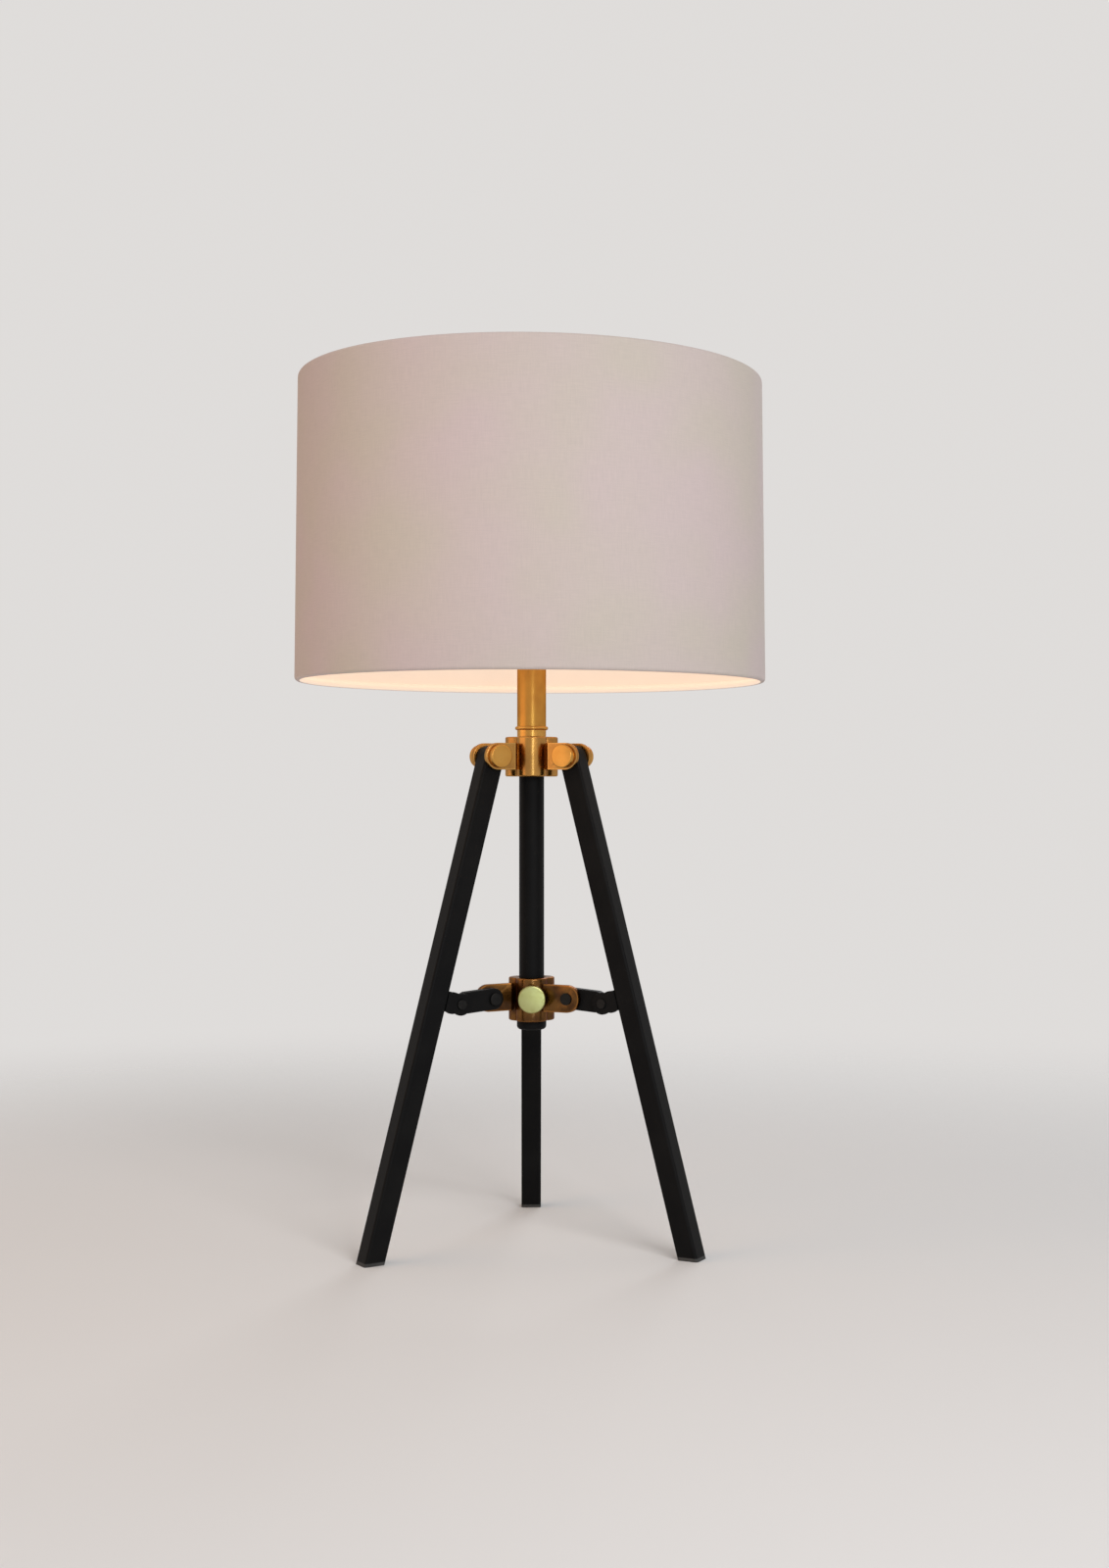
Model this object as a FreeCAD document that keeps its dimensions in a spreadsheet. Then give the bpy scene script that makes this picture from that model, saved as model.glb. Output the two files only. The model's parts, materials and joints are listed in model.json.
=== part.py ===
import FreeCAD, Part
import math
import os
import re
from types import SimpleNamespace

import Sketcher

# Tripod table lamp: a brass hub on a black pole carries a drum shade, and three black legs
# hang from the hub.  A second brass hub slides on the pole and spreads the legs through
# short braces.  Origin: on the table, under the pole's axis.  +Z is up, -Y is the front.

doc = FreeCAD.newDocument("TripodTableLamp")

# ---------------------------------------------------------------------------------------
# Driving sizes, in millimetres and degrees
# ---------------------------------------------------------------------------------------
DRIVING = [
    ("fit_gap", 0.08, "radial gap of a pin or slide that moves"),
    ("seat_gap", 0.05, "gap round a piece that is fixed in a bore"),
    ("side_gap", 0.3, "gap between the flat sides of pieces that turn past each other"),
    # pole
    ("pole_radius", 9.5, "outside of the pole"),
    ("pole_wall", 2.0, "wall of the pole"),
    ("pole_grip", 18.0, "length of pole inside the upper hub"),
    ("stop_height", 169.0, "top of the end cap, where the lower hub rests"),
    ("cap_radius", 11.2, "outside of the pole's end cap"),
    ("cap_depth", 7.0, "end cap below its ledge"),
    ("cap_round", 3.0, "rounding of the end cap's lower edge"),
    ("cap_plug", 12.0, "end cap's plug inside the pole"),
    ("outlet_radius", 4.0, "bore of the bushing in the end cap"),
    ("bushing_wall", 1.2, "wall of the bushing"),
    # upper hub
    ("leg_pivot_height", 369.5, "height of the legs' pivots"),
    ("leg_pivot_radius", 35.5, "distance of the legs' pivots from the pole's axis"),
    ("hub_height", 30.2, "height of the upper hub"),
    ("lobe_radius", 11.4, "round lobes of the upper hub"),
    ("lobe_offset", 10.0, "distance of the lobes from the axis"),
    ("ear_radius", 10.0, "round end of an ear of the upper hub"),
    ("ear_thickness", 3.5, "thickness of an ear of the upper hub"),
    ("root_width", 11.2, "width of the arm that carries a fork"),
    ("fork_back", 20.7, "inner end of a fork's wide part"),
    ("fork_root", 24.5, "inner end of the slot in a fork"),
    ("edge_round", 1.2, "rounding of the hubs' rims"),
    ("bolt_radius", 3.0, "shank of a leg bolt"),
    ("head_radius", 8.75, "round head of a leg bolt, and its cap nut"),
    ("head_height", 6.0, "height of that head"),
    ("head_round", 0.8, "rounding of that head"),
    # legs
    ("leg_side", 16.0, "side of the square leg"),
    ("leg_round", 2.0, "rounding of the leg's long edges"),
    ("leg_wall", 1.6, "wall of the leg's tube"),
    ("leg_angle", 15.1, "lean of a leg from upright"),
    ("knuckle_length", 26.0, "solid top of the leg, below its pivot"),
    ("pad_height", 2.5, "foot pad under the leg"),
    ("pad_plug", 12.0, "plug of the foot pad inside the leg"),
    # lower hub
    ("slider_height", 32.7, "height of the lower hub"),
    ("slider_lobe_radius", 12.2, "round lobes of the lower hub"),
    ("slider_lobe_offset", 6.0, "distance of those lobes from the axis"),
    ("slider_ear_radius", 10.3, "round end of an ear of the lower hub"),
    ("slider_ear_thickness", 4.0, "thickness of an ear of the lower hub"),
    ("brace_pivot_radius", 34.5, "distance of the braces' hub pivots from the axis"),
    ("brace_pivot_rise", 18.0, "height of those pivots above the lower hub's foot"),
    # braces and their brackets
    ("brace_slope", 4.0, "fall of a brace from the hub to the leg"),
    ("lug_offset", 20.16, "distance of the bracket's pivot from the leg's centre line"),
    ("brace_depth", 16.0, "height of the brace's bar"),
    ("brace_thickness", 8.0, "thickness of the brace's bar"),
    ("brace_round", 1.0, "rounding of the brace's long edges"),
    ("tongue_radius", 5.5, "round outer end of the brace"),
    ("tongue_taper", 7.0, "length over which the bar narrows to its outer end"),
    ("screw_radius", 2.5, "shank of a brace screw"),
    ("screw_head_radius", 4.5, "head of a brace screw"),
    ("screw_head_height", 2.4, "height of that head"),
    ("tail_head_height", 1.4, "height of the low head at the screw's other end"),
    ("lug_radius", 8.2, "round end of a bracket's cheek"),
    ("lug_thickness", 2.4, "thickness of a bracket's cheek"),
    ("bracket_base", 1.5, "plate of the bracket on the leg"),
    ("bracket_height", 15.0, "height of that plate"),
    ("stub_radius", 2.2, "short pivot screw in a bracket's cheek"),
    ("stub_head_radius", 3.6, "head of that screw"),
    ("stub_head_height", 1.4, "height of that head"),
    # lock knob
    ("knob_radius", 10.3, "disc of the lock knob"),
    ("knob_thickness", 7.0, "thickness of that disc"),
    ("knob_neck_radius", 5.0, "neck of the knob"),
    ("knob_neck_length", 2.0, "length of that neck"),
    ("knob_round", 0.9, "rounding of the knob's rim"),
    ("lock_screw_radius", 3.0, "screw that the knob turns"),
    # neck
    ("rod_radius", 4.8, "threaded rod through the neck"),
    ("rod_bore", 3.2, "bore of the threaded rod"),
    ("rod_tail", 6.0, "rod below the web of the upper hub"),
    ("nut_radius", 6.6, "hexagon nut, centre to corner"),
    ("nut_height", 5.0, "height of the nut"),
    ("neck_radius", 11.0, "outside of the neck tube"),
    ("neck_wall", 1.5, "wall of the neck tube"),
    ("neck_length", 47.4, "length of the neck tube"),
    ("stub_height", 5.1, "plain foot of the neck collar"),
    ("bead_radius", 12.6, "bead on the neck collar"),
    ("bead_height", 2.8, "height of that bead"),
    ("bead_share", 0.45, "rounding of the bead, as a share of its height"),
    ("neck_cap_height", 3.0, "cap on the neck tube"),
    ("neck_cap_lip", 0.75, "cap's lip beyond the tube, and the slope of its edge"),
    # harp and its saddle
    ("saddle_plate", 2.0, "plate of the saddle"),
    ("saddle_width", 12.0, "width of the saddle"),
    ("post_height", 10.0, "posts of the saddle"),
    ("harp_wire", 2.0, "radius of the harp's wire"),
    ("harp_foot", 22.0, "distance of the harp's feet from the axis"),
    ("harp_height", 177.0, "harp from its feet to its top"),
    ("harp_half_width", 55.0, "half of the harp's width"),
    ("harp_straight", 9.0, "upright run above the harp's feet"),
    ("harp_bend", 40.0, "bend above that run"),
    ("ferrule_wall", 1.1, "wall of a ferrule"),
    ("ferrule_length", 14.0, "length of a ferrule"),
    ("swivel_radius", 8.0, "flange that the shade sits on"),
    ("swivel_height", 4.0, "height of that flange"),
    ("stud_radius", 3.1, "threaded stud on top of the harp"),
    ("stud_length", 13.0, "length of that stud"),
    # socket and bulb
    ("socket_cap_radius", 17.2, "socket's cap"),
    ("socket_cap_neck", 7.0, "neck of the socket's cap"),
    ("socket_cap_height", 21.0, "height of the socket's cap"),
    ("sheet_metal", 0.8, "wall of the socket's cap and shell"),
    ("socket_shell_radius", 16.3, "socket's shell"),
    ("socket_shell_height", 44.0, "height of the shell"),
    ("shell_overlap", 5.0, "shell inside the cap"),
    ("liner_wall", 0.6, "wall of the socket's sleeve"),
    ("switch_body_height", 22.0, "switch block in the socket"),
    ("thread_radius", 13.8, "outside of the socket's screw shell"),
    ("thread_wall", 0.4, "wall of the screw shell"),
    ("thread_height", 19.0, "height of the screw shell"),
    ("bulb_cap_radius", 13.0, "screw cap of the bulb"),
    ("bulb_cap_height", 24.0, "height of the bulb's cap"),
    ("bulb_radius", 30.0, "bulb's glass"),
    ("bulb_height", 83.0, "height of the glass above the cap"),
    ("bulb_wall", 1.0, "wall of the glass"),
    ("contact_height", 1.5, "contact under the bulb"),
    ("contact_radius", 4.0, "radius of that contact"),
    ("key_shaft_radius", 2.0, "shaft of the switch key"),
    ("key_depth", 8.0, "distance of the shaft's inner end from the axis"),
    ("key_reach", 30.0, "distance of the key's grip from the axis"),
    ("key_grip", 10.0, "length of the key's grip"),
    ("key_grip_radius", 5.5, "radius of the key's grip"),
    ("key_round", 1.4, "rounding of the key's end"),
    # shade
    ("shade_height", 229.0, "height of the shade"),
    ("shade_foot_radius", 178.0, "outside of the shade at its lower rim"),
    ("shade_taper", 2.5, "how much narrower the shade's radius is at its upper rim"),
    ("fabric_wall", 0.8, "fabric of the shade"),
    ("backing_wall", 0.6, "backing inside the fabric"),
    ("frame_wire", 1.5, "radius of the wire in the shade's two rings"),
    ("arm_wire", 1.3, "radius of the wire in the three arms"),
    ("shade_recess", 17.0, "shade's upper rim above its seat"),
    ("ring_drop", 2.5, "centre of a frame ring below or above its rim"),
    ("washer_radius", 12.0, "washer that the arms meet at"),
    ("washer_height", 1.6, "height of that washer"),
    # finial
    ("finial_radius", 7.0, "finial's belly"),
    ("finial_height", 15.0, "height of the finial"),
    ("finial_foot_radius", 5.6, "finial's foot"),
    ("finial_foot_height", 1.8, "height of that foot"),
    ("finial_flare", 3.4, "height of the cone from the foot to the belly"),
    ("finial_tip_radius", 3.5, "flat top of the finial"),
    ("finial_crown", 3.8, "height of the cone above the belly"),
]

LEG_AZIMUTHS = {"right": -30, "rear": 90, "left": 210}
SPIDER_ARMS = 3

sheet = doc.addObject("Spreadsheet::Sheet", "Sizes")
for row, (alias, number, meaning) in enumerate(DRIVING, start=1):
    sheet.set("A%d" % row, meaning)
    sheet.set("B%d" % row, str(number))
    sheet.setAlias("B%d" % row, alias)
doc.recompute()

mm = SimpleNamespace(**{alias: number for alias, number, meaning in DRIVING})
ALIASES = {alias for alias, number, meaning in DRIVING}


# ---------------------------------------------------------------------------------------
# Ways of making a piece
# ---------------------------------------------------------------------------------------
def formula(text):
    """A formula written with the sheet's names, in the form that the document reads."""
    def full_name(word):
        return "Sizes." + word.group(0) if word.group(0) in ALIASES else word.group(0)

    return re.sub(r"[a-z]\w*", full_name, text)


def bind(obj, path, text):
    obj.setExpression(path, formula(text))


def place(obj, x="0", y="0", z="0", yaw="0", pitch="0", roll="0"):
    """Moves a finished piece to its place, after turning it about X, then Y, then Z."""
    spot = "vector(%s; %s; %s)" % (x, y, z)
    turn = "rotation(%s; %s; %s)" % (yaw, pitch, roll)
    bind(obj, "Placement", "placement(%s; %s)" % (spot, turn))


def new_body(label):
    body = doc.addObject("PartDesign::Body", label)
    body.Label = label
    return body


def new_sketch(body, role, lift="0"):
    """A sketch on one of the body's own planes, lifted along the plane's normal.

    XY faces +Z, XZ faces -Y and YZ faces +X.
    """
    sketch = body.newObject("Sketcher::SketchObject", body.Name + "_outline")
    plane = [item for item in body.Origin.OriginFeatures if item.Role == role][0]
    sketch.AttachmentSupport = (plane, [""])
    sketch.MapMode = "FlatFace"
    bind(sketch, "AttachmentOffset.Base.z", lift)
    return sketch


def fix_point(sketch, shape, end, x, y):
    """Holds one point of a sketch at a place given by two formulas."""
    across = sketch.addConstraint(Sketcher.Constraint("DistanceX", -1, 1, shape, end, 1.0))
    upward = sketch.addConstraint(Sketcher.Constraint("DistanceY", -1, 1, shape, end, 1.0))
    bind(sketch, "Constraints[%d]" % across, x)
    bind(sketch, "Constraints[%d]" % upward, y)


def draw_outline(sketch, points):
    """A closed outline with straight sides through points given by formulas."""
    first = len(sketch.Geometry)
    count = len(points)
    corners = []
    for index in range(count):
        turn = 2 * math.pi * index / count
        corners.append(FreeCAD.Vector(10 * math.cos(turn), 10 * math.sin(turn), 0))
    for index in range(count):
        sketch.addGeometry(Part.LineSegment(corners[index], corners[(index + 1) % count]), False)
    for index in range(count):
        following = first + (index + 1) % count
        sketch.addConstraint(Sketcher.Constraint("Coincident", first + index, 2, following, 1))
        fix_point(sketch, first + index, 1, points[index][0], points[index][1])


def draw_circle(sketch, x, y, radius):
    index = sketch.addGeometry(Part.Circle(FreeCAD.Vector(1, 1, 0), FreeCAD.Vector(0, 0, 1), 1), False)
    fix_point(sketch, index, 3, x, y)
    size = sketch.addConstraint(Sketcher.Constraint("Radius", index, 1.0))
    bind(sketch, "Constraints[%d]" % size, radius)


def pad(body, sketch, length, both_ways=False):
    feature = body.newObject("PartDesign::Pad", body.Name + "_pad")
    feature.Profile = sketch
    feature.SideType = "Symmetric" if both_ways else "One side"
    bind(feature, "Length", length)
    body.Tip = feature
    return feature


def cut(body, sketch, length, both_ways=False, reverse=False):
    feature = body.newObject("PartDesign::Pocket", body.Name + "_pocket")
    feature.Profile = sketch
    feature.SideType = "Symmetric" if both_ways else "One side"
    feature.Reversed = reverse
    bind(feature, "Length", length)
    body.Tip = feature
    return feature


def repeat_round(body, features, count):
    upright = [item for item in body.Origin.OriginFeatures if item.Role == "Z_Axis"][0]
    pattern = body.newObject("PartDesign::PolarPattern", body.Name + "_round")
    pattern.Originals = features
    pattern.Axis = (upright, [""])
    pattern.Angle = 360
    pattern.Occurrences = count
    body.Tip = pattern
    return pattern


def round_edges(body, radius, chosen):
    """Rounds the edges of the body's last feature that the chosen test picks."""
    doc.recompute()
    base = body.Tip
    names = ["Edge%d" % (i + 1) for i, edge in enumerate(base.Shape.Edges) if chosen(edge)]
    feature = body.newObject("PartDesign::Fillet", body.Name + "_fillet")
    feature.Base = (base, names)
    bind(feature, "Radius", radius)
    body.Tip = feature
    return feature


def turned(label, points, **where):
    """A piece turned about its own Z axis from an outline of (radius, height) points."""
    body = new_body(label)
    sketch = new_sketch(body, "XZ_Plane")
    draw_outline(sketch, points)
    feature = body.newObject("PartDesign::Revolution", label + "_turn")
    feature.Profile = sketch
    feature.ReferenceAxis = (sketch, ["V_Axis"])
    feature.Angle = 360
    body.Tip = feature
    place(body, **where)
    return body


def rod(name, radius, height, **where):
    piece = doc.addObject("Part::Cylinder", name)
    bind(piece, "Radius", radius)
    bind(piece, "Height", height)
    place(piece, **where)
    return piece


def joined(label, pieces):
    """Several solids kept under one name: welded where they meet, separate where they don't."""
    group = doc.addObject("Part::MultiFuse", label)
    group.Label = label
    group.Shapes = pieces
    return group


def polar(radius, azimuth):
    """X and Y formulas of a point at a distance from the pole's axis."""
    return "(%s) * cos(%s)" % (radius, azimuth), "(%s) * sin(%s)" % (radius, azimuth)


def lies_between(edge, low, high, tolerance=0.01):
    """True when the whole edge lies between two heights of its piece."""
    box = edge.BoundBox
    return box.ZMin > low - tolerance and box.ZMax < high + tolerance


sub_parts = []

# ---------------------------------------------------------------------------------------
# Heights of the pieces that stack on the hub
# ---------------------------------------------------------------------------------------
hub_foot = "leg_pivot_height - hub_height / 2"
hub_top = "leg_pivot_height + hub_height / 2"
pole_top = hub_foot + " + pole_grip"
collar_top = hub_top + " + stub_height + bead_height"
neck_top = collar_top + " + neck_length"
neck_cap_top = neck_top + " + neck_cap_height"
saddle_top = neck_cap_top + " + saddle_plate"
harp_feet = saddle_top + " + post_height"
harp_top = harp_feet + " + harp_height + harp_wire"
shade_seat = harp_top + " + swivel_height"
shade_top = shade_seat + " + shade_recess"
shade_foot = shade_top + " - shade_height"
slider_pivot = "stop_height + brace_pivot_rise"

# ---------------------------------------------------------------------------------------
# Pole, end cap and bushing
# ---------------------------------------------------------------------------------------
sub_parts.append(turned("pole", [
    ("pole_radius - pole_wall", "0"),
    ("pole_radius", "0"),
    ("pole_radius", pole_top + " - stop_height"),
    ("pole_radius - pole_wall", pole_top + " - stop_height"),
], z="stop_height"))

bushing_radius = "outlet_radius + bushing_wall"
end_cap = turned("pole_end_cap", [
    (bushing_radius + " + seat_gap", "-cap_depth"),
    ("cap_radius", "-cap_depth"),
    ("cap_radius", "0"),
    ("pole_radius - pole_wall - seat_gap", "0"),
    ("pole_radius - pole_wall - seat_gap", "cap_plug"),
    (bushing_radius + " + seat_gap", "cap_plug"),
], z="stop_height")
round_edges(end_cap, "cap_round", lambda e: lies_between(e, -mm.cap_depth, -mm.cap_depth)
            and abs(e.BoundBox.XMax - mm.cap_radius) < 0.01)
sub_parts.append(end_cap)

sub_parts.append(turned("cord_bushing", [
    ("outlet_radius", "-cap_depth"),
    (bushing_radius, "-cap_depth"),
    (bushing_radius, "cap_plug"),
    ("outlet_radius", "cap_plug"),
], z="stop_height"))

# ---------------------------------------------------------------------------------------
# Upper hub: three round lobes between three pairs of ears
# ---------------------------------------------------------------------------------------
fork_half_gap = "(leg_side / 2 + side_gap)"
fork_half_width = "(leg_side / 2 + side_gap + ear_thickness)"

upper_hub = new_body("upper_hub")
lobe = new_sketch(upper_hub, "XY_Plane", "-hub_height / 2")
draw_circle(lobe, "-lobe_offset", "0", "lobe_radius")
repeat_round(upper_hub, [pad(upper_hub, lobe, "hub_height")], 3)
hub_rims = (-mm.hub_height / 2, mm.hub_height / 2)
round_edges(upper_hub, "edge_round", lambda e: any(lies_between(e, rim, rim) for rim in hub_rims))

root_arm = new_sketch(upper_hub, "XZ_Plane")
draw_outline(root_arm, [
    ("0", "-ear_radius"),
    ("fork_back", "-ear_radius"),
    ("fork_back", "ear_radius"),
    ("0", "ear_radius"),
])
fork_arm = new_sketch(upper_hub, "XZ_Plane")
draw_outline(fork_arm, [
    ("fork_back", "-ear_radius"),
    ("leg_pivot_radius", "-ear_radius"),
    ("leg_pivot_radius", "ear_radius"),
    ("fork_back", "ear_radius"),
])
fork_end = new_sketch(upper_hub, "XZ_Plane")
draw_circle(fork_end, "leg_pivot_radius", "0", "ear_radius")
fork_pads = [
    pad(upper_hub, root_arm, "root_width", both_ways=True),
    pad(upper_hub, fork_arm, "2 * " + fork_half_width, both_ways=True),
    pad(upper_hub, fork_end, "2 * " + fork_half_width, both_ways=True),
]
repeat_round(upper_hub, fork_pads, 3)

# the slot that the leg turns in, and the hole for its bolt
slot = new_sketch(upper_hub, "XZ_Plane")
draw_outline(slot, [
    ("fork_root", "-2 * ear_radius"),
    ("leg_pivot_radius + 2 * ear_radius", "-2 * ear_radius"),
    ("leg_pivot_radius + 2 * ear_radius", "2 * ear_radius"),
    ("fork_root", "2 * ear_radius"),
])
bolt_hole = new_sketch(upper_hub, "XZ_Plane")
draw_circle(bolt_hole, "leg_pivot_radius", "0", "bolt_radius + seat_gap")
fork_cuts = [
    cut(upper_hub, slot, "2 * " + fork_half_gap, both_ways=True),
    cut(upper_hub, bolt_hole, "4 * " + fork_half_width, both_ways=True),
]
repeat_round(upper_hub, fork_cuts, 3)

# bore for the pole from below, and for the threaded rod through the web above it
pole_bore = new_sketch(upper_hub, "XY_Plane", "-hub_height / 2")
draw_circle(pole_bore, "0", "0", "pole_radius + seat_gap")
cut(upper_hub, pole_bore, "pole_grip", reverse=True)
rod_bore = new_sketch(upper_hub, "XY_Plane", "-hub_height / 2")
draw_circle(rod_bore, "0", "0", "rod_radius + seat_gap")
cut(upper_hub, rod_bore, "hub_height", reverse=True)
place(upper_hub, z="leg_pivot_height", yaw=str(LEG_AZIMUTHS["rear"]))
sub_parts.append(upper_hub)

# ---------------------------------------------------------------------------------------
# Leg bolts: a round brass head on one side of each fork, a round cap nut on the other
# ---------------------------------------------------------------------------------------
def leg_bolt(name, azimuth):
    """Shank and head in one, lying along the leg's pivot."""
    bolt = turned(name, [
        ("0", "-%s - head_height / 2" % fork_half_width),
        ("bolt_radius", "-%s - head_height / 2" % fork_half_width),
        ("bolt_radius", fork_half_width),
        ("head_radius", fork_half_width),
        ("head_radius", "%s + head_height" % fork_half_width),
        ("0", "%s + head_height" % fork_half_width),
    ])
    top = mm.leg_side / 2 + mm.side_gap + mm.ear_thickness + mm.head_height
    round_edges(bolt, "head_round", lambda e: lies_between(e, top, top))
    x, y = polar("leg_pivot_radius", azimuth)
    place(bolt, x, y, "leg_pivot_height", yaw=str(azimuth), roll="-90")
    return bolt


def leg_bolt_cap(name, azimuth):
    """Cap nut with a blind bore for the end of the shank."""
    cap = turned(name, [
        ("bolt_radius + seat_gap", fork_half_width),
        ("head_radius", fork_half_width),
        ("head_radius", "%s + head_height" % fork_half_width),
        ("0", "%s + head_height" % fork_half_width),
        ("0", "%s + head_height / 2 + seat_gap" % fork_half_width),
        ("bolt_radius + seat_gap", "%s + head_height / 2 + seat_gap" % fork_half_width),
    ])
    top = mm.leg_side / 2 + mm.side_gap + mm.ear_thickness + mm.head_height
    round_edges(cap, "head_round", lambda e: lies_between(e, top, top))
    x, y = polar("leg_pivot_radius", azimuth)
    place(cap, x, y, "leg_pivot_height", yaw=str(azimuth), roll="90")
    return cap


for label, make in (("leg_bolts", leg_bolt), ("leg_bolt_caps", leg_bolt_cap)):
    singles = [make("%s_%s" % (label, name), azimuth) for name, azimuth in LEG_AZIMUTHS.items()]
    sub_parts.append(joined(label, singles))

# ---------------------------------------------------------------------------------------
# Legs: square tube with a solid rounded top, a foot pad and a bracket for the brace
# ---------------------------------------------------------------------------------------
# A leg, its foot pad and its bracket share one frame: the origin is at the leg's pivot and
# -Z runs down the leg.  Level cuts at a depth below the pivot are slanted in that frame.
leg_lean = "tan(leg_angle)"


def level(depth, across):
    """Height, in the leg's frame, of a level plane that lies a depth below the pivot."""
    return "-(%s) / cos(leg_angle) - (%s) * %s" % (depth, across, leg_lean)


leg_end = "leg_pivot_height - pad_height"
half_leg = "leg_side / 2"
half_bore = "(leg_side / 2 - leg_wall)"

# a brace is as long as it takes to reach the pivot in the bracket on the leg's inner face
hub_drop = "(leg_pivot_height - (%s))" % slider_pivot
pivot_step = "(brace_pivot_radius - leg_pivot_radius)"
lean_reach = "(%s * sin(leg_angle) - %s * cos(leg_angle))" % (hub_drop, pivot_step)
brace_length = "((%s - lug_offset) / cos(leg_angle + brace_slope))" % lean_reach

# the outer pivot of the brace, from the leg's pivot: outwards, then down
pivot_out = "(%s + %s * cos(brace_slope))" % (pivot_step, brace_length)
pivot_down = "(%s + %s * sin(brace_slope))" % (hub_drop, brace_length)
lug_across = "(-lug_offset)"
lug_along = "(-%s * sin(leg_angle) - %s * cos(leg_angle))" % (pivot_out, pivot_down)
cheek_half_gap = "(leg_side / 2 - lug_thickness)"


def place_on_leg(piece, azimuth):
    x, y = polar("leg_pivot_radius", azimuth)
    place(piece, x, y, "leg_pivot_height", yaw=str(azimuth), pitch="-leg_angle")


def leg(name, azimuth):
    body = new_body("leg_" + name)
    bar = new_sketch(body, "XZ_Plane")
    draw_outline(bar, [
        ("-" + half_leg, "0"),
        ("-" + half_leg, level(leg_end, "-" + half_leg)),
        (half_leg, level(leg_end, half_leg)),
        (half_leg, "0"),
    ])
    pad(body, bar, "leg_side", both_ways=True)
    knuckle = new_sketch(body, "XZ_Plane")
    draw_circle(knuckle, "0", "0", half_leg)
    pad(body, knuckle, "leg_side", both_ways=True)
    round_edges(body, "leg_round", lambda e: runs_along_leg(e))
    bore = new_sketch(body, "XY_Plane", "-(%s) / cos(leg_angle) - leg_side" % leg_end)
    draw_outline(bore, [
        ("-" + half_bore, "-" + half_bore),
        (half_bore, "-" + half_bore),
        (half_bore, half_bore),
        ("-" + half_bore, half_bore),
    ])
    bore_length = "(%s) / cos(leg_angle) + leg_side - knuckle_length" % leg_end
    cut(body, bore, bore_length, reverse=True)
    hole = new_sketch(body, "XZ_Plane")
    draw_circle(hole, "0", "0", "bolt_radius + fit_gap")
    cut(body, hole, "2 * leg_side", both_ways=True)
    place_on_leg(body, azimuth)
    return body


def runs_along_leg(edge):
    """The long edges of the bar, and the edges of its rounded top that they run into."""
    box = edge.BoundBox
    on_side = abs(abs(box.YMax) - mm.leg_side / 2) < 0.01 and box.YMax - box.YMin < 0.01
    return on_side and (box.ZMax - box.ZMin > mm.leg_side or box.ZMax > 1.0)


def foot_pad(name, azimuth):
    body = new_body("foot_pad_" + name)
    sole = new_sketch(body, "XZ_Plane")
    draw_outline(sole, [
        ("-" + half_leg, level("leg_pivot_height", "-" + half_leg)),
        (half_leg, level("leg_pivot_height", half_leg)),
        (half_leg, level(leg_end, half_leg)),
        ("-" + half_leg, level(leg_end, "-" + half_leg)),
    ])
    pad(body, sole, "leg_side", both_ways=True)
    round_edges(body, "leg_round", lambda e: is_corner_of_sole(e))
    plug = new_sketch(body, "XZ_Plane")
    inner = "(%s - seat_gap)" % half_bore
    draw_outline(plug, [
        ("-" + inner, level(leg_end, "-" + inner)),
        (inner, level(leg_end, inner)),
        (inner, level(leg_end, inner) + " + pad_plug"),
        ("-" + inner, level(leg_end, inner) + " + pad_plug"),
    ])
    pad(body, plug, "2 * " + inner, both_ways=True)
    place_on_leg(body, azimuth)
    return body


def is_corner_of_sole(edge):
    box = edge.BoundBox
    return box.YMax - box.YMin < 0.01 and box.XMax - box.XMin < 0.01


def leg_bracket(name, azimuth):
    """Plate on the leg's inner face, with two round cheeks that carry the brace's pivot."""
    body = new_body("leg_bracket_" + name)
    cheek = new_sketch(body, "XZ_Plane")
    draw_outline(cheek, [
        ("-" + half_leg, lug_along + " - bracket_height / 2"),
        ("-" + half_leg, lug_along + " + bracket_height / 2"),
        (lug_across, lug_along + " + bracket_height / 2"),
        (lug_across, lug_along + " - bracket_height / 2"),
    ])
    pad(body, cheek, "leg_side", both_ways=True)
    cheek_end = new_sketch(body, "XZ_Plane")
    draw_circle(cheek_end, lug_across, lug_along, "lug_radius")
    pad(body, cheek_end, "leg_side", both_ways=True)
    gap = new_sketch(body, "XZ_Plane")
    draw_outline(gap, [
        ("-%s - bracket_base" % half_leg, lug_along + " - 2 * lug_radius"),
        ("-%s - bracket_base" % half_leg, lug_along + " + 2 * lug_radius"),
        (lug_across + " - 2 * lug_radius", lug_along + " + 2 * lug_radius"),
        (lug_across + " - 2 * lug_radius", lug_along + " - 2 * lug_radius"),
    ])
    cut(body, gap, "2 * " + cheek_half_gap, both_ways=True)
    hole = new_sketch(body, "XZ_Plane")
    draw_circle(hole, lug_across, lug_along, "stub_radius + seat_gap")
    cut(body, hole, "2 * leg_side", both_ways=True)
    place_on_leg(body, azimuth)
    return body


def bracket_screws(name, azimuth):
    """Two short screws, one in each cheek.  They end just short of the brace between them."""
    tip = "(brace_thickness / 2 + side_gap)"
    screws = []
    for side, roll in (("front", "90"), ("back", "-90")):
        screw = turned("bracket_screw_%s_%s" % (name, side), [
            ("0", tip),
            ("stub_radius", tip),
            ("stub_radius", half_leg),
            ("stub_head_radius", half_leg),
            ("stub_head_radius", half_leg + " + stub_head_height"),
            ("0", half_leg + " + stub_head_height"),
        ])
        x, y = polar("leg_pivot_radius + " + pivot_out, azimuth)
        place(screw, x, y, "leg_pivot_height - " + pivot_down, yaw=str(azimuth), roll=roll)
        screws.append(screw)
    return joined("bracket_screws_" + name, screws)


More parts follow.
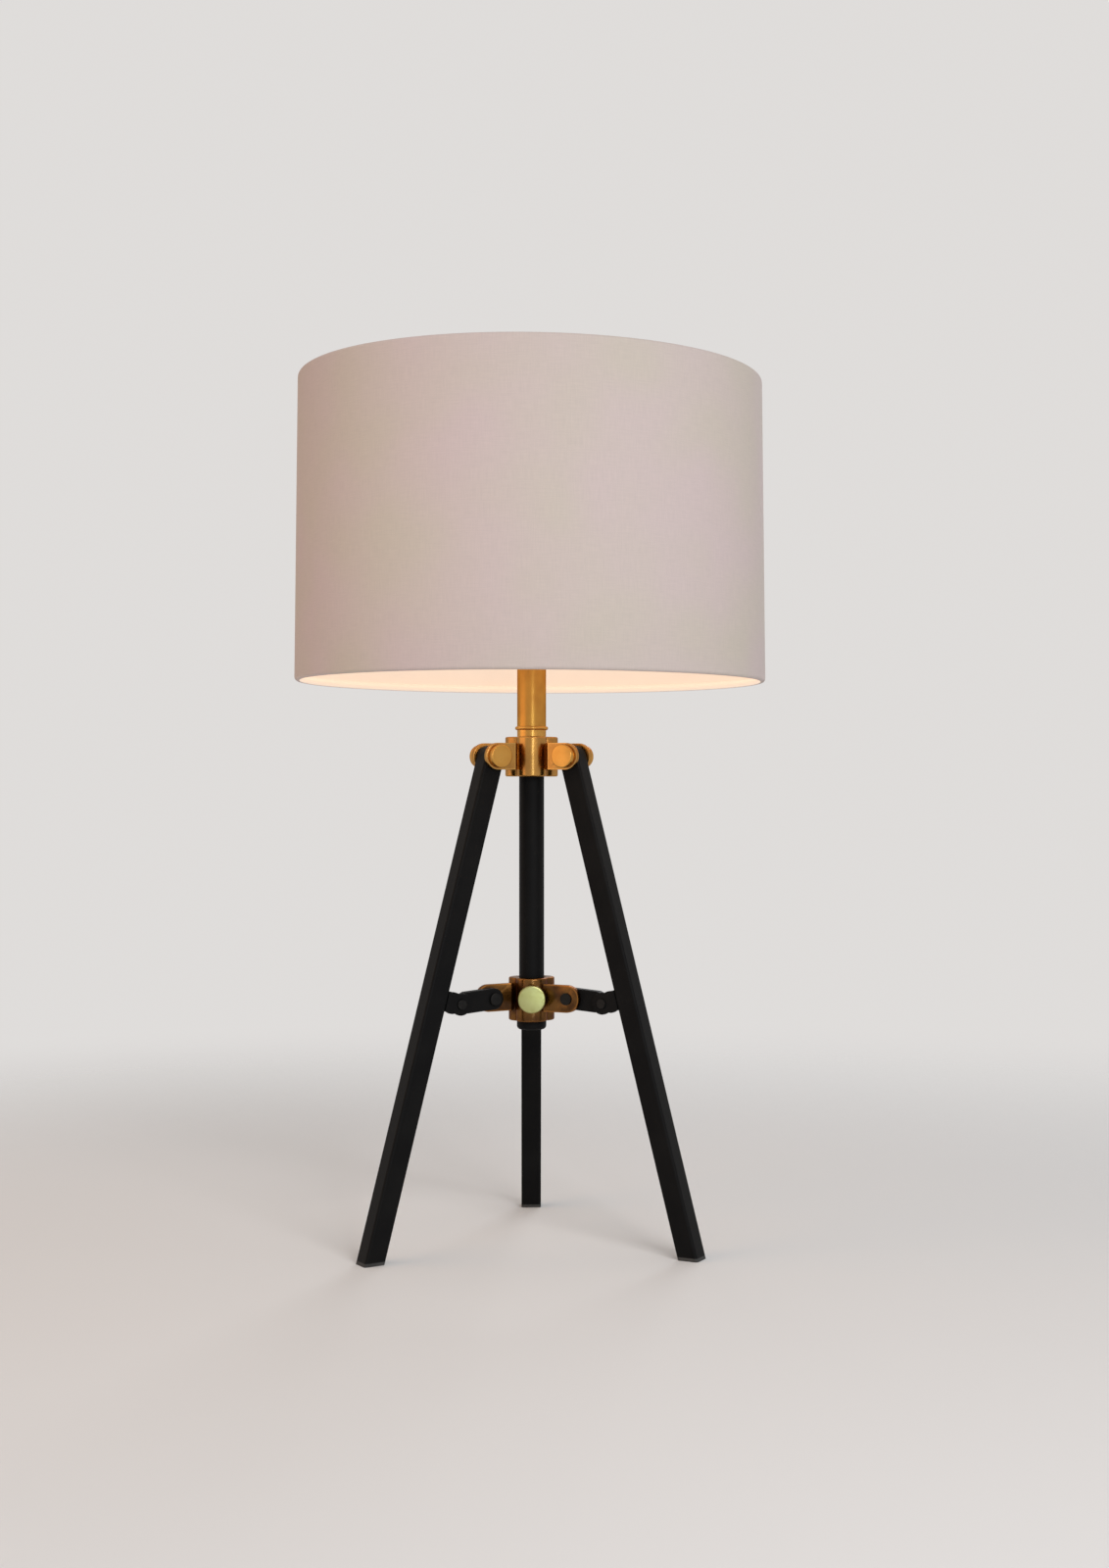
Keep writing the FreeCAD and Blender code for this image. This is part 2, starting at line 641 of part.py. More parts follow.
for name, azimuth in LEG_AZIMUTHS.items():
    sub_parts.append(leg(name, azimuth))
    sub_parts.append(foot_pad(name, azimuth))
    sub_parts.append(leg_bracket(name, azimuth))
    sub_parts.append(bracket_screws(name, azimuth))

# ---------------------------------------------------------------------------------------
# Lower hub: slides on the pole, with one ear beside each brace
# ---------------------------------------------------------------------------------------
ear_side = "(brace_thickness / 2 + side_gap)"

lower_hub = new_body("lower_hub")
lobe = new_sketch(lower_hub, "XY_Plane")
draw_circle(lobe, "-slider_lobe_offset", "0", "slider_lobe_radius")
repeat_round(lower_hub, [pad(lower_hub, lobe, "slider_height")], 3)
slider_rims = (0.0, mm.slider_height)
round_edges(lower_hub, "edge_round", lambda e: any(lies_between(e, rim, rim) for rim in slider_rims))

ear_arm = new_sketch(lower_hub, "XZ_Plane", ear_side)
draw_outline(ear_arm, [
    ("0", "brace_pivot_rise - slider_ear_radius"),
    ("brace_pivot_radius", "brace_pivot_rise - slider_ear_radius"),
    ("brace_pivot_radius", "brace_pivot_rise + slider_ear_radius"),
    ("0", "brace_pivot_rise + slider_ear_radius"),
])
ear_end = new_sketch(lower_hub, "XZ_Plane", ear_side)
draw_circle(ear_end, "brace_pivot_radius", "brace_pivot_rise", "slider_ear_radius")
ears = [
    pad(lower_hub, ear_arm, "slider_ear_thickness"),
    pad(lower_hub, ear_end, "slider_ear_thickness"),
]
repeat_round(lower_hub, ears, 3)
screw_hole = new_sketch(lower_hub, "XZ_Plane", ear_side)
draw_circle(screw_hole, "brace_pivot_radius", "brace_pivot_rise", "screw_radius + seat_gap")
hole_cut = cut(lower_hub, screw_hole, "slider_ear_thickness", reverse=True)
repeat_round(lower_hub, [hole_cut], 3)

slide_bore = new_sketch(lower_hub, "XY_Plane")
draw_circle(slide_bore, "0", "0", "pole_radius + fit_gap")
cut(lower_hub, slide_bore, "slider_height", reverse=True)
lock_hole = new_sketch(lower_hub, "YZ_Plane", "-slider_lobe_offset - slider_lobe_radius")
draw_circle(lock_hole, "0", "brace_pivot_rise", "lock_screw_radius + seat_gap")
cut(lower_hub, lock_hole, "slider_lobe_offset + slider_lobe_radius", reverse=True)
place(lower_hub, z="stop_height", yaw=str(LEG_AZIMUTHS["rear"]))
sub_parts.append(lower_hub)


def brace(name, azimuth):
    """Flat bar from the hub's ear to the leg's bracket, narrowed at its outer end."""
    body = new_body("brace_" + name)
    half = "brace_depth / 2"
    bar = new_sketch(body, "XZ_Plane")
    draw_outline(bar, [
        ("0", "-" + half),
        (brace_length + " - tongue_taper", "-" + half),
        (brace_length, "-tongue_radius"),
        (brace_length, "tongue_radius"),
        (brace_length + " - tongue_taper", half),
        ("0", half),
    ])
    pad(body, bar, "brace_thickness", both_ways=True)
    for spot, radius in (("0", half), (brace_length, "tongue_radius")):
        end = new_sketch(body, "XZ_Plane")
        draw_circle(end, spot, "0", radius)
        pad(body, end, "brace_thickness", both_ways=True)
    round_edges(body, "brace_round", lambda e: is_rim_of_brace(e))
    hole = new_sketch(body, "XZ_Plane")
    draw_circle(hole, "0", "0", "screw_radius + fit_gap")
    cut(body, hole, "2 * brace_thickness", both_ways=True)
    x, y = polar("brace_pivot_radius", azimuth)
    place(body, x, y, slider_pivot, yaw=str(azimuth), pitch="brace_slope")
    return body


def is_rim_of_brace(edge):
    box = edge.BoundBox
    return box.YMax - box.YMin < 0.01 and abs(abs(box.YMax) - mm.brace_thickness / 2) < 0.01


def brace_screw(name, azimuth):
    """Pin through the brace and the ear, with a head on each side."""
    seat = "-(brace_thickness / 2 + side_gap + slider_ear_thickness + seat_gap)"
    screw = turned("brace_screw_" + name, [
        ("0", seat + " - tail_head_height"),
        ("screw_head_radius", seat + " - tail_head_height"),
        ("screw_head_radius", seat),
        ("screw_radius", seat),
        ("screw_radius", ear_side),
        ("screw_head_radius", ear_side),
        ("screw_head_radius", ear_side + " + screw_head_height"),
        ("0", ear_side + " + screw_head_height"),
    ])
    x, y = polar("brace_pivot_radius", azimuth)
    place(screw, x, y, slider_pivot, yaw=str(azimuth), roll="-90")
    return screw


for name, azimuth in LEG_AZIMUTHS.items():
    sub_parts.append(brace(name, azimuth))
screws = [brace_screw(name, azimuth) for name, azimuth in LEG_AZIMUTHS.items()]
sub_parts.append(joined("brace_screws", screws))

# the lock knob on the front lobe: its screw bears on the pole
knob_back = "(slider_lobe_offset + slider_lobe_radius + side_gap)"
lock_knob = turned("lock_knob", [
    ("lock_screw_radius + seat_gap", knob_back),
    ("knob_neck_radius", knob_back),
    ("knob_neck_radius", knob_back + " + knob_neck_length"),
    ("knob_radius", knob_back + " + knob_neck_length"),
    ("knob_radius", knob_back + " + knob_neck_length + knob_thickness"),
    ("0", knob_back + " + knob_neck_length + knob_thickness"),
    ("0", knob_back + " + knob_neck_length + seat_gap"),
    ("lock_screw_radius + seat_gap", knob_back + " + knob_neck_length + seat_gap"),
], z=slider_pivot, roll="90")
knob_front = (mm.slider_lobe_offset + mm.slider_lobe_radius + mm.side_gap + mm.knob_neck_length
              + mm.knob_thickness)
round_edges(lock_knob, "knob_round", lambda e: lies_between(e, knob_front, knob_front))
sub_parts.append(lock_knob)
sub_parts.append(turned("lock_screw", [
    ("0", "pole_radius + seat_gap"),
    ("lock_screw_radius", "pole_radius + seat_gap"),
    ("lock_screw_radius", knob_back + " + knob_neck_length"),
    ("0", knob_back + " + knob_neck_length"),
], z=slider_pivot, roll="90"))

# ---------------------------------------------------------------------------------------
# Neck: threaded rod, nut, collar, tube and cap
# ---------------------------------------------------------------------------------------
rod_foot = "(%s) - rod_tail" % pole_top
rod_length = "(%s) - (%s) + socket_cap_neck" % (saddle_top, rod_foot)
sub_parts.append(turned("threaded_rod", [
    ("rod_bore", "0"),
    ("rod_radius", "0"),
    ("rod_radius", rod_length),
    ("rod_bore", rod_length),
], z=rod_foot))

rod_nut = new_body("rod_nut")
hexagon = new_sketch(rod_nut, "XY_Plane")
draw_outline(hexagon, [("nut_radius * cos(%d)" % turn, "nut_radius * sin(%d)" % turn)
                       for turn in range(0, 360, 60)])
pad(rod_nut, hexagon, "nut_height")
nut_bore = new_sketch(rod_nut, "XY_Plane")
draw_circle(nut_bore, "0", "0", "rod_radius + seat_gap")
cut(rod_nut, nut_bore, "nut_height", reverse=True)
place(rod_nut, z="(%s) - nut_height" % pole_top)
sub_parts.append(rod_nut)

neck_collar = turned("neck_collar", [
    ("rod_radius + seat_gap", "0"),
    ("neck_radius", "0"),
    ("neck_radius", "stub_height"),
    ("bead_radius", "stub_height"),
    ("bead_radius", "stub_height + bead_height"),
    ("rod_radius + seat_gap", "stub_height + bead_height"),
], z=hub_top)
bead_rims = (mm.stub_height, mm.stub_height + mm.bead_height)
round_edges(neck_collar, "bead_share * bead_height", lambda e: any(lies_between(e, rim, rim) for rim in bead_rims)
            and abs(e.BoundBox.XMax - mm.bead_radius) < 0.01)
sub_parts.append(neck_collar)

sub_parts.append(turned("neck_tube", [
    ("neck_radius - neck_wall", "0"),
    ("neck_radius", "0"),
    ("neck_radius", "neck_length"),
    ("neck_radius - neck_wall", "neck_length"),
], z=collar_top))

sub_parts.append(turned("neck_cap", [
    ("rod_radius + seat_gap", "-neck_cap_height"),
    ("neck_radius - neck_wall - seat_gap", "-neck_cap_height"),
    ("neck_radius - neck_wall - seat_gap", "0"),
    ("neck_radius + neck_cap_lip", "0"),
    ("neck_radius - neck_cap_lip", "neck_cap_height"),
    ("rod_radius + seat_gap", "neck_cap_height"),
], z=neck_top))

# ---------------------------------------------------------------------------------------
# Harp, saddle and ferrules
# ---------------------------------------------------------------------------------------
saddle = new_body("harp_saddle")
strip = new_sketch(saddle, "XY_Plane")
strip_end = "(harp_foot + harp_wire)"
draw_outline(strip, [
    ("-" + strip_end, "-saddle_width / 2"),
    (strip_end, "-saddle_width / 2"),
    (strip_end, "saddle_width / 2"),
    ("-" + strip_end, "saddle_width / 2"),
])
pad(saddle, strip, "saddle_plate")
for side in ("-", ""):
    post = new_sketch(saddle, "XY_Plane", "saddle_plate")
    draw_circle(post, side + "harp_foot", "0", "harp_wire")
    pad(saddle, post, "post_height")
saddle_bore = new_sketch(saddle, "XY_Plane")
draw_circle(saddle_bore, "0", "0", "rod_radius + seat_gap")
cut(saddle, saddle_bore, "saddle_plate", reverse=True)
place(saddle, z=neck_cap_top)
sub_parts.append(saddle)


def harp_shape():
    """Round wire bent into a loop: upright, a bend out, a straight run and an arc, twice."""
    arc = mm.harp_half_width
    bend = mm.harp_bend
    foot = mm.harp_foot
    base = mm.harp_straight
    centre = mm.harp_height - arc
    # the straight run touches both the bend and the arc: this is its lean from upright
    reach = math.hypot(foot + bend, centre - base)
    lean = math.atan2(centre - base, foot + bend) - math.acos((arc + bend) / reach)

    def on_bend(turn):
        across = foot + bend * (1 - math.cos(turn))
        return FreeCAD.Vector(across, 0, base + bend * math.sin(turn))

    def mirrored(point):
        return FreeCAD.Vector(-point.x, point.y, point.z)

    start = FreeCAD.Vector(foot, 0, 0)
    knee = on_bend(lean)
    shoulder = FreeCAD.Vector(arc * math.cos(lean), 0, centre - arc * math.sin(lean))
    side = FreeCAD.Vector(arc, 0, centre)
    crown = FreeCAD.Vector(0, 0, centre + arc)
    wire = Part.Wire([
        Part.LineSegment(start, on_bend(0)).toShape(),
        Part.Arc(on_bend(0), on_bend(lean / 2), knee).toShape(),
        Part.LineSegment(knee, shoulder).toShape(),
        Part.Arc(shoulder, side, crown).toShape(),
        Part.Arc(crown, mirrored(side), mirrored(shoulder)).toShape(),
        Part.LineSegment(mirrored(shoulder), mirrored(knee)).toShape(),
        Part.Arc(mirrored(knee), mirrored(on_bend(lean / 2)), mirrored(on_bend(0))).toShape(),
        Part.LineSegment(mirrored(on_bend(0)), mirrored(start)).toShape(),
    ])
    section = Part.Wire(Part.Circle(start, FreeCAD.Vector(0, 0, 1), mm.harp_wire).toShape())
    return wire.makePipeShell([section], True, False)


harp = doc.addObject("Part::Feature", "harp")
harp.Label = "harp"
harp.Shape = harp_shape()
place(harp, z=harp_feet)
sub_parts.append(harp)

ferrules = []
for name, side in (("left", "-"), ("right", "")):
    ferrules.append(turned("ferrule_" + name, [
        ("harp_wire + seat_gap", "-ferrule_length / 2"),
        ("harp_wire + seat_gap + ferrule_wall", "-ferrule_length / 2"),
        ("harp_wire + seat_gap + ferrule_wall", "ferrule_length / 2"),
        ("harp_wire + seat_gap", "ferrule_length / 2"),
    ], x=side + "harp_foot", z=harp_feet))
sub_parts.append(joined("harp_ferrules", ferrules))

sub_parts.append(turned("harp_stud", [
    ("0", "0"),
    ("swivel_radius", "0"),
    ("swivel_radius", "swivel_height"),
    ("stud_radius", "swivel_height"),
    ("stud_radius", "swivel_height + stud_length"),
    ("0", "swivel_height + stud_length"),
], z=harp_top))

# ---------------------------------------------------------------------------------------
# Socket, switch and bulb
# ---------------------------------------------------------------------------------------
cap_inside = "(socket_cap_radius - sheet_metal)"
shell_inside = "(socket_shell_radius - sheet_metal)"
shell_foot = "(socket_cap_height - shell_overlap)"
shell_rim = shell_foot + " + socket_shell_height"
liner_inside = "(%s - seat_gap - liner_wall)" % shell_inside
switch_top = shell_foot + " + switch_body_height"
thread_top = switch_top + " + thread_height"
bulb_foot = switch_top + " + 2 * contact_height"

sub_parts.append(turned("socket_cap", [
    ("rod_radius + seat_gap", "0"),
    ("rod_radius + seat_gap + 2 * sheet_metal", "0"),
    ("rod_radius + seat_gap + 2 * sheet_metal", "socket_cap_neck"),
    ("socket_cap_radius", shell_foot + " - sheet_metal"),
    ("socket_cap_radius", "socket_cap_height"),
    (cap_inside, "socket_cap_height"),
    (cap_inside, shell_foot + " - sheet_metal / 2"),
    ("rod_radius + seat_gap + 2 * sheet_metal", "socket_cap_neck + sheet_metal"),
    ("rod_radius + seat_gap", "socket_cap_neck + sheet_metal"),
], z=saddle_top))


def key_hole(body, from_axis):
    """Cuts the hole for the switch's shaft, from a distance from the axis towards the front."""
    hole = new_sketch(body, "XZ_Plane", from_axis)
    draw_circle(hole, "0", "switch_body_height / 2", "key_shaft_radius + fit_gap")
    cut(body, hole, "2 * socket_shell_radius", reverse=True)


socket_shell = turned("socket_shell", [
    (shell_inside, "0"),
    ("socket_shell_radius", "0"),
    ("socket_shell_radius", "socket_shell_height"),
    (shell_inside, "socket_shell_height"),
], z=saddle_top + " + " + shell_foot)
key_hole(socket_shell, "0")
sub_parts.append(socket_shell)

socket_sleeve = turned("socket_sleeve", [
    (liner_inside, "0"),
    (liner_inside + " + liner_wall", "0"),
    (liner_inside + " + liner_wall", "socket_shell_height - sheet_metal"),
    (liner_inside, "socket_shell_height - sheet_metal"),
], z=saddle_top + " + " + shell_foot)
key_hole(socket_sleeve, "0")
sub_parts.append(socket_sleeve)

switch_block = turned("switch_block", [
    ("0", "0"),
    (liner_inside + " - seat_gap", "0"),
    (liner_inside + " - seat_gap", "switch_body_height"),
    ("0", "switch_body_height"),
], z=saddle_top + " + " + shell_foot)
key_hole(switch_block, "key_depth - side_gap")
sub_parts.append(switch_block)

sub_parts.append(turned("screw_shell", [
    ("thread_radius - thread_wall", "0"),
    ("thread_radius", "0"),
    ("thread_radius", "thread_height"),
    ("thread_radius - thread_wall", "thread_height"),
], z=saddle_top + " + " + switch_top))

sub_parts.append(turned("centre_contact", [
    ("0", "0"),
    ("contact_radius", "0"),
    ("contact_radius", "contact_height"),
    ("0", "contact_height"),
], z=saddle_top + " + " + switch_top))

bulb_cap_inside = "(bulb_cap_radius - sheet_metal)"
sub_parts.append(turned("bulb_cap", [
    ("0", "-contact_height"),
    ("contact_radius", "-contact_height"),
    (bulb_cap_inside, "contact_height"),
    ("bulb_cap_radius", "2 * contact_height"),
    ("bulb_cap_radius", "bulb_cap_height"),
    (bulb_cap_inside, "bulb_cap_height"),
    (bulb_cap_inside, "2 * contact_height"),
    ("0", "contact_height"),
], z=saddle_top + " + " + bulb_foot))


def bulb_shape():
    """Hollow glass: a neck that widens in a straight line into a ball."""
    def side(foot, ball):
        """The foot of the neck, the point where it meets the ball, and the ball's other points."""
        centre = mm.bulb_height - mm.bulb_radius
        reach = math.hypot(foot, centre)
        lean = math.atan2(centre, -foot) - math.asin(ball / reach)
        run = math.sqrt(reach ** 2 - ball ** 2)
        start = FreeCAD.Vector(foot, 0, 0)
        meet = FreeCAD.Vector(foot + run * math.cos(lean), 0, run * math.sin(lean))
        widest = FreeCAD.Vector(ball, 0, centre)
        crown = FreeCAD.Vector(0, 0, centre + ball)
        return start, meet, widest, crown

    start, meet, widest, crown = side(mm.bulb_cap_radius, mm.bulb_radius)
    inner = side(mm.bulb_cap_radius - mm.bulb_wall, mm.bulb_radius - mm.bulb_wall)
    outline = Part.Wire([
        Part.LineSegment(start, meet).toShape(),
        Part.Arc(meet, widest, crown).toShape(),
        Part.LineSegment(crown, inner[3]).toShape(),
        Part.Arc(inner[3], inner[2], inner[1]).toShape(),
        Part.LineSegment(inner[1], inner[0]).toShape(),
        Part.LineSegment(inner[0], start).toShape(),
    ])
    return Part.Face(outline).revolve(FreeCAD.Vector(0, 0, 0), FreeCAD.Vector(0, 0, 1), 360)


bulb_glass = doc.addObject("Part::Feature", "bulb_glass")
bulb_glass.Label = "bulb_glass"
bulb_glass.Shape = bulb_shape()
place(bulb_glass, z=saddle_top + " + " + bulb_foot + " + bulb_cap_height")
sub_parts.append(bulb_glass)

switch_key = turned("switch_key", [
    ("0", "key_depth"),
    ("key_shaft_radius", "key_depth"),
    ("key_shaft_radius", "key_reach"),
    ("key_grip_radius", "key_reach"),
    ("key_grip_radius", "key_reach + key_grip"),
    ("0", "key_reach + key_grip"),
], z=saddle_top + " + " + shell_foot + " + switch_body_height / 2", roll="90")
key_end = mm.key_reach + mm.key_grip
round_edges(switch_key, "key_round", lambda e: lies_between(e, key_end, key_end))
sub_parts.append(switch_key)

# ---------------------------------------------------------------------------------------
# Shade: fabric on a stiff backing, a ring at each rim, and three arms that meet at a washer
# ---------------------------------------------------------------------------------------
def shade_radius(height):
    """Outside of the shade at a height above its lower rim."""
    return "(shade_foot_radius - shade_taper * (%s) / shade_height)" % height


def shade_wall(label, depth, wall):
    """A wall of the shade that starts a depth inside its outer face."""
    foot = "%s - (%s)" % (shade_radius("0"), depth)
    top = "%s - (%s)" % (shade_radius("shade_height"), depth)
    return turned(label, [
        (foot + " - " + wall, "0"),
        (foot, "0"),
        (top, "shade_height"),
        (top + " - " + wall, "shade_height"),
    ], z=shade_foot)


def shade_ring(label, height):
    """A wire ring inside the backing, at a height above the lower rim."""
    ring = doc.addObject("Part::Torus", label)
    ring.Label = label
    bind(ring, "Radius1", "%s - %s" % (shade_radius(height), ring_inset))
    bind(ring, "Radius2", "frame_wire")
    place(ring, z="(%s) + %s" % (shade_foot, height))
    return ring


ring_inset = "(fabric_wall + backing_wall + 3 * seat_gap + frame_wire)"
top_ring_height = "shade_height - ring_drop"
sub_parts.append(shade_wall("shade_fabric", "0", "fabric_wall"))
sub_parts.append(shade_wall("shade_backing", "fabric_wall + seat_gap", "backing_wall"))
sub_parts.append(shade_ring("shade_foot_ring", "ring_drop"))
top_ring = shade_ring("shade_top_ring", top_ring_height)
sub_parts.append(top_ring)

washer = turned("spider_washer", [
    ("stud_radius + fit_gap", "0"),
    ("washer_radius", "0"),
    ("washer_radius", "washer_height"),
    ("stud_radius + fit_gap", "washer_height"),
], z=shade_seat)
sub_parts.append(washer)

# each arm rises from the washer to the middle of the ring's wire, and is cut to fit both
arm_start = "(washer_radius - arm_wire)"
arm_run = "(%s - %s - %s)" % (shade_radius(top_ring_height), ring_inset, arm_start)
arm_rise = "(shade_recess - ring_drop - arm_wire)"
arm_length = "sqrt(%s ^ 2 + %s ^ 2)" % (arm_run, arm_rise)
arms = []
for arm in range(SPIDER_ARMS):
    azimuth = 90 + arm * 360 // SPIDER_ARMS
    x, y = polar(arm_start, azimuth)
    wire = rod("spider_wire_%d" % arm, "arm_wire", arm_length,
               x=x, y=y, z="(%s) + arm_wire" % shade_seat,
               yaw=str(azimuth), pitch="atan(%s / %s)" % (arm_run, arm_rise))
    for number, seat in enumerate((top_ring, washer)):
        fitted = doc.addObject("Part::Cut", "spider_arm_%d_%d" % (arm, number))
        fitted.Base = wire
        fitted.Tool = seat
        wire = fitted
    arms.append(wire)
sub_parts.append(joined("spider_arms", arms))

# the finial screws down on the washer, with a gap that lets the shade swivel under it
bore_end = "stud_length - washer_height"
sub_parts.append(turned("finial", [
    ("stud_radius + fit_gap", "0"),
    ("finial_foot_radius", "0"),
    ("finial_foot_radius", "finial_foot_height"),
    ("finial_radius", "finial_foot_height + finial_flare"),
    ("finial_radius", "finial_height - finial_crown"),
    ("finial_tip_radius", "finial_height"),
    ("0", "finial_height"),
    ("0", bore_end),
    ("stud_radius + fit_gap", bore_end),
], z="(%s) + washer_height + side_gap" % shade_seat))

# ---------------------------------------------------------------------------------------
# Check every piece, then write it
# ---------------------------------------------------------------------------------------
doc.recompute()
faults = []
for obj in doc.Objects:
    if "Invalid" in obj.State or "Error" in obj.State:
        faults.append("%s is in state %s" % (obj.Label, obj.State))
for piece in sub_parts:
    shape = piece.Shape
    if shape.isNull() or not shape.isValid() or not shape.Solids:
        faults.append("%s has no valid solid" % piece.Label)
if faults:
    raise RuntimeError("; ".join(faults))

os.makedirs("parts", exist_ok=True)
for piece in sub_parts:
    piece.Shape.exportStep("parts/%s.step" % piece.Label)
    box = piece.Shape.optimalBoundingBox()
    print("%-20s solids %d  volume %9.1f mm3  x %.1f..%.1f  y %.1f..%.1f  z %.1f..%.1f" % (
        piece.Label, len(piece.Shape.Solids), piece.Shape.Volume,
        box.XMin, box.XMax, box.YMin, box.YMax, box.ZMin, box.ZMax))
print("%d sub-parts" % len(sub_parts))
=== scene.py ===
# %% [markdown]
# # A tripod table lamp
# The metal frame of the lamp comes packed, at its real size and with its joints.  This lesson
# dresses it: camera and light first, then one finish after another, then the pieces that are
# modelled here.  Lengths are in metres, +Z is up and -Y is the lamp's front.

# %% Load the frame
import json
import math

import bmesh
import bpy
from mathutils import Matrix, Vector

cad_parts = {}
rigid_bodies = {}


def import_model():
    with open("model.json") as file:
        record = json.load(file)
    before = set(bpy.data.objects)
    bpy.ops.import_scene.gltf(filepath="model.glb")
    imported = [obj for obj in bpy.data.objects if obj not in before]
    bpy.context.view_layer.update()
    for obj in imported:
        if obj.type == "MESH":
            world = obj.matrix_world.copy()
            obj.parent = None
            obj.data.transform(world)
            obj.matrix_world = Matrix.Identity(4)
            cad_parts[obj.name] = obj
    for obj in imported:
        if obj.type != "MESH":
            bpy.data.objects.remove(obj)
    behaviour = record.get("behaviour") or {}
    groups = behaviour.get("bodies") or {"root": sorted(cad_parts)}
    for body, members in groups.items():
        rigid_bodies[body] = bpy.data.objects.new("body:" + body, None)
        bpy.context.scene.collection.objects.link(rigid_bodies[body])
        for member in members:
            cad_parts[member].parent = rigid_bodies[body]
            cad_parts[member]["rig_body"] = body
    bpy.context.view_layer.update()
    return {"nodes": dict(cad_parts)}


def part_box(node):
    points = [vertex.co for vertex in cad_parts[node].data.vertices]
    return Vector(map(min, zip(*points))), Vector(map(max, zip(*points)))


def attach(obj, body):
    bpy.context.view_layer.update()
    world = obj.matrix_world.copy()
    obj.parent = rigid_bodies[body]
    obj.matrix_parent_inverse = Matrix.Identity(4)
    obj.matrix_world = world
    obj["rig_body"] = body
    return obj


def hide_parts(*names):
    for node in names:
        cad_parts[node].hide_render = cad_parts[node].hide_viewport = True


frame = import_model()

nodes = frame["nodes"]
MM = 0.001

# %% [markdown]
# ## Camera
# The photo was taken level, from about a metre and a half, with the lamp left of the middle of
# the lens.  The place, the focal length and the shift were found by fitting the shade's rims,
# the legs and the hubs, so a render can be laid over the photo.

# %% Camera
PHOTO_WIDTH, PHOTO_HEIGHT = 1132, 1600
SENSOR_WIDTH = 36
FOCAL_PX = 2090.85
LENS_AXIS_PX = (680.0, 804.0)
TURN = math.radians(3.918)
LAMP_DISTANCE, LAMP_ASIDE, EYE_HEIGHT = 1.5618, 0.1026, 0.3457

sight = Vector((math.sin(TURN), math.cos(TURN), 0))
right_hand = Vector((math.cos(TURN), -math.sin(TURN), 0))
eye = right_hand * LAMP_ASIDE - sight * LAMP_DISTANCE + Vector((0, 0, EYE_HEIGHT))

lens = bpy.data.cameras.new("photo_camera")
lens.sensor_width = SENSOR_WIDTH
lens.lens = FOCAL_PX / PHOTO_HEIGHT * SENSOR_WIDTH
lens.shift_x = (PHOTO_WIDTH / 2 - LENS_AXIS_PX[0]) / PHOTO_HEIGHT
lens.shift_y = (LENS_AXIS_PX[1] - PHOTO_HEIGHT / 2) / PHOTO_HEIGHT
camera = bpy.data.objects.new("photo_camera", lens)
camera.location = eye
camera.rotation_euler = (math.pi / 2, 0, -TURN)
bpy.context.scene.collection.objects.link(camera)
bpy.context.scene.camera = camera
bpy.context.scene.view_settings.view_transform = "Standard"
print("camera at", tuple(round(v, 3) for v in eye), "lens", round(lens.lens, 2))

# %% [markdown]
# ## Floor
# The room is plain, so that only the lamp is looked at.  The floor is a pale disc that takes
# the lamp's shadow.  A floor that ends at a horizon would draw a line behind the lamp, so this
# one turns see-through with distance, and the world shows in its place.  From below it is
# see-through as well, because there it would only hide the feet.

# %% Floor disc
FLOOR_RADIUS = 4.0
FLOOR_SEGMENTS = 96


def new_piece(name, mesh_maker):
    """An object at the origin, made by a function that fills a bmesh."""
    shape = bmesh.new()
    mesh_maker(shape)
    mesh = bpy.data.meshes.new(name)
    shape.to_mesh(mesh)
    shape.free()
    piece = bpy.data.objects.new(name, mesh)
    bpy.context.scene.collection.objects.link(piece)
    return piece


def floor_disc(shape):
    """A flat disc on the plane that the feet stand on."""
    bmesh.ops.create_circle(shape, cap_ends=True, segments=FLOOR_SEGMENTS, radius=FLOOR_RADIUS)


floor = new_piece("floor", floor_disc)
print("floor radius:", FLOOR_RADIUS, "m")

# %% Helpers for materials
def set_inputs(node, values):
    """Sets a node's inputs by their names."""
    for label, value in values.items():
        node.inputs[label].default_value = value


def new_material(name, values):
    """A material with its own Principled shader, and that shader."""
    material = bpy.data.materials.new(name)
    material.use_nodes = True
    shader = material.node_tree.nodes["Principled BSDF"]
    set_inputs(shader, values)
    return material, shader


def math_node(tree, operation, first, second=None):
    """The result of a Math node whose inputs are sockets or numbers."""
    node = tree.nodes.new("ShaderNodeMath")
    node.operation = operation
    for slot, value in enumerate((first, second)):
        if isinstance(value, bpy.types.NodeSocket):
            tree.links.new(value, node.inputs[slot])
        elif value is not None:
            node.inputs[slot].default_value = value
    return node.outputs[0]


print("helpers for materials are ready")

# %% Floor finish
FLOOR_GREY = (0.88, 0.875, 0.87, 1)
FLOOR_FADE = (0.35, 1.5)

floor_finish, floor_shader = new_material("floor_finish", {
    "Base Color": FLOOR_GREY, "Roughness": 0.9, "Specular IOR Level": 0.2})
floor_tree = floor_finish.node_tree
from_lamp = floor_tree.nodes.new("ShaderNodeVectorMath")
from_lamp.operation = "LENGTH"
floor_place = floor_tree.nodes.new("ShaderNodeTexCoord")
floor_tree.links.new(floor_place.outputs["Object"], from_lamp.inputs[0])
fade = floor_tree.nodes.new("ShaderNodeMapRange")
fade.interpolation_type = "SMOOTHSTEP"
set_inputs(fade, {"From Min": FLOOR_FADE[0], "From Max": FLOOR_FADE[1]})
floor_tree.links.new(from_lamp.outputs["Value"], fade.inputs["Value"])
floor_side = floor_tree.nodes.new("ShaderNodeNewGeometry")
faded_or_below = math_node(floor_tree, "MAXIMUM", fade.outputs["Result"],
                           floor_side.outputs["Backfacing"])
see_through = floor_tree.nodes.new("ShaderNodeBsdfTransparent")
floor_or_world = floor_tree.nodes.new("ShaderNodeMixShader")
floor_tree.links.new(faded_or_below, floor_or_world.inputs["Fac"])
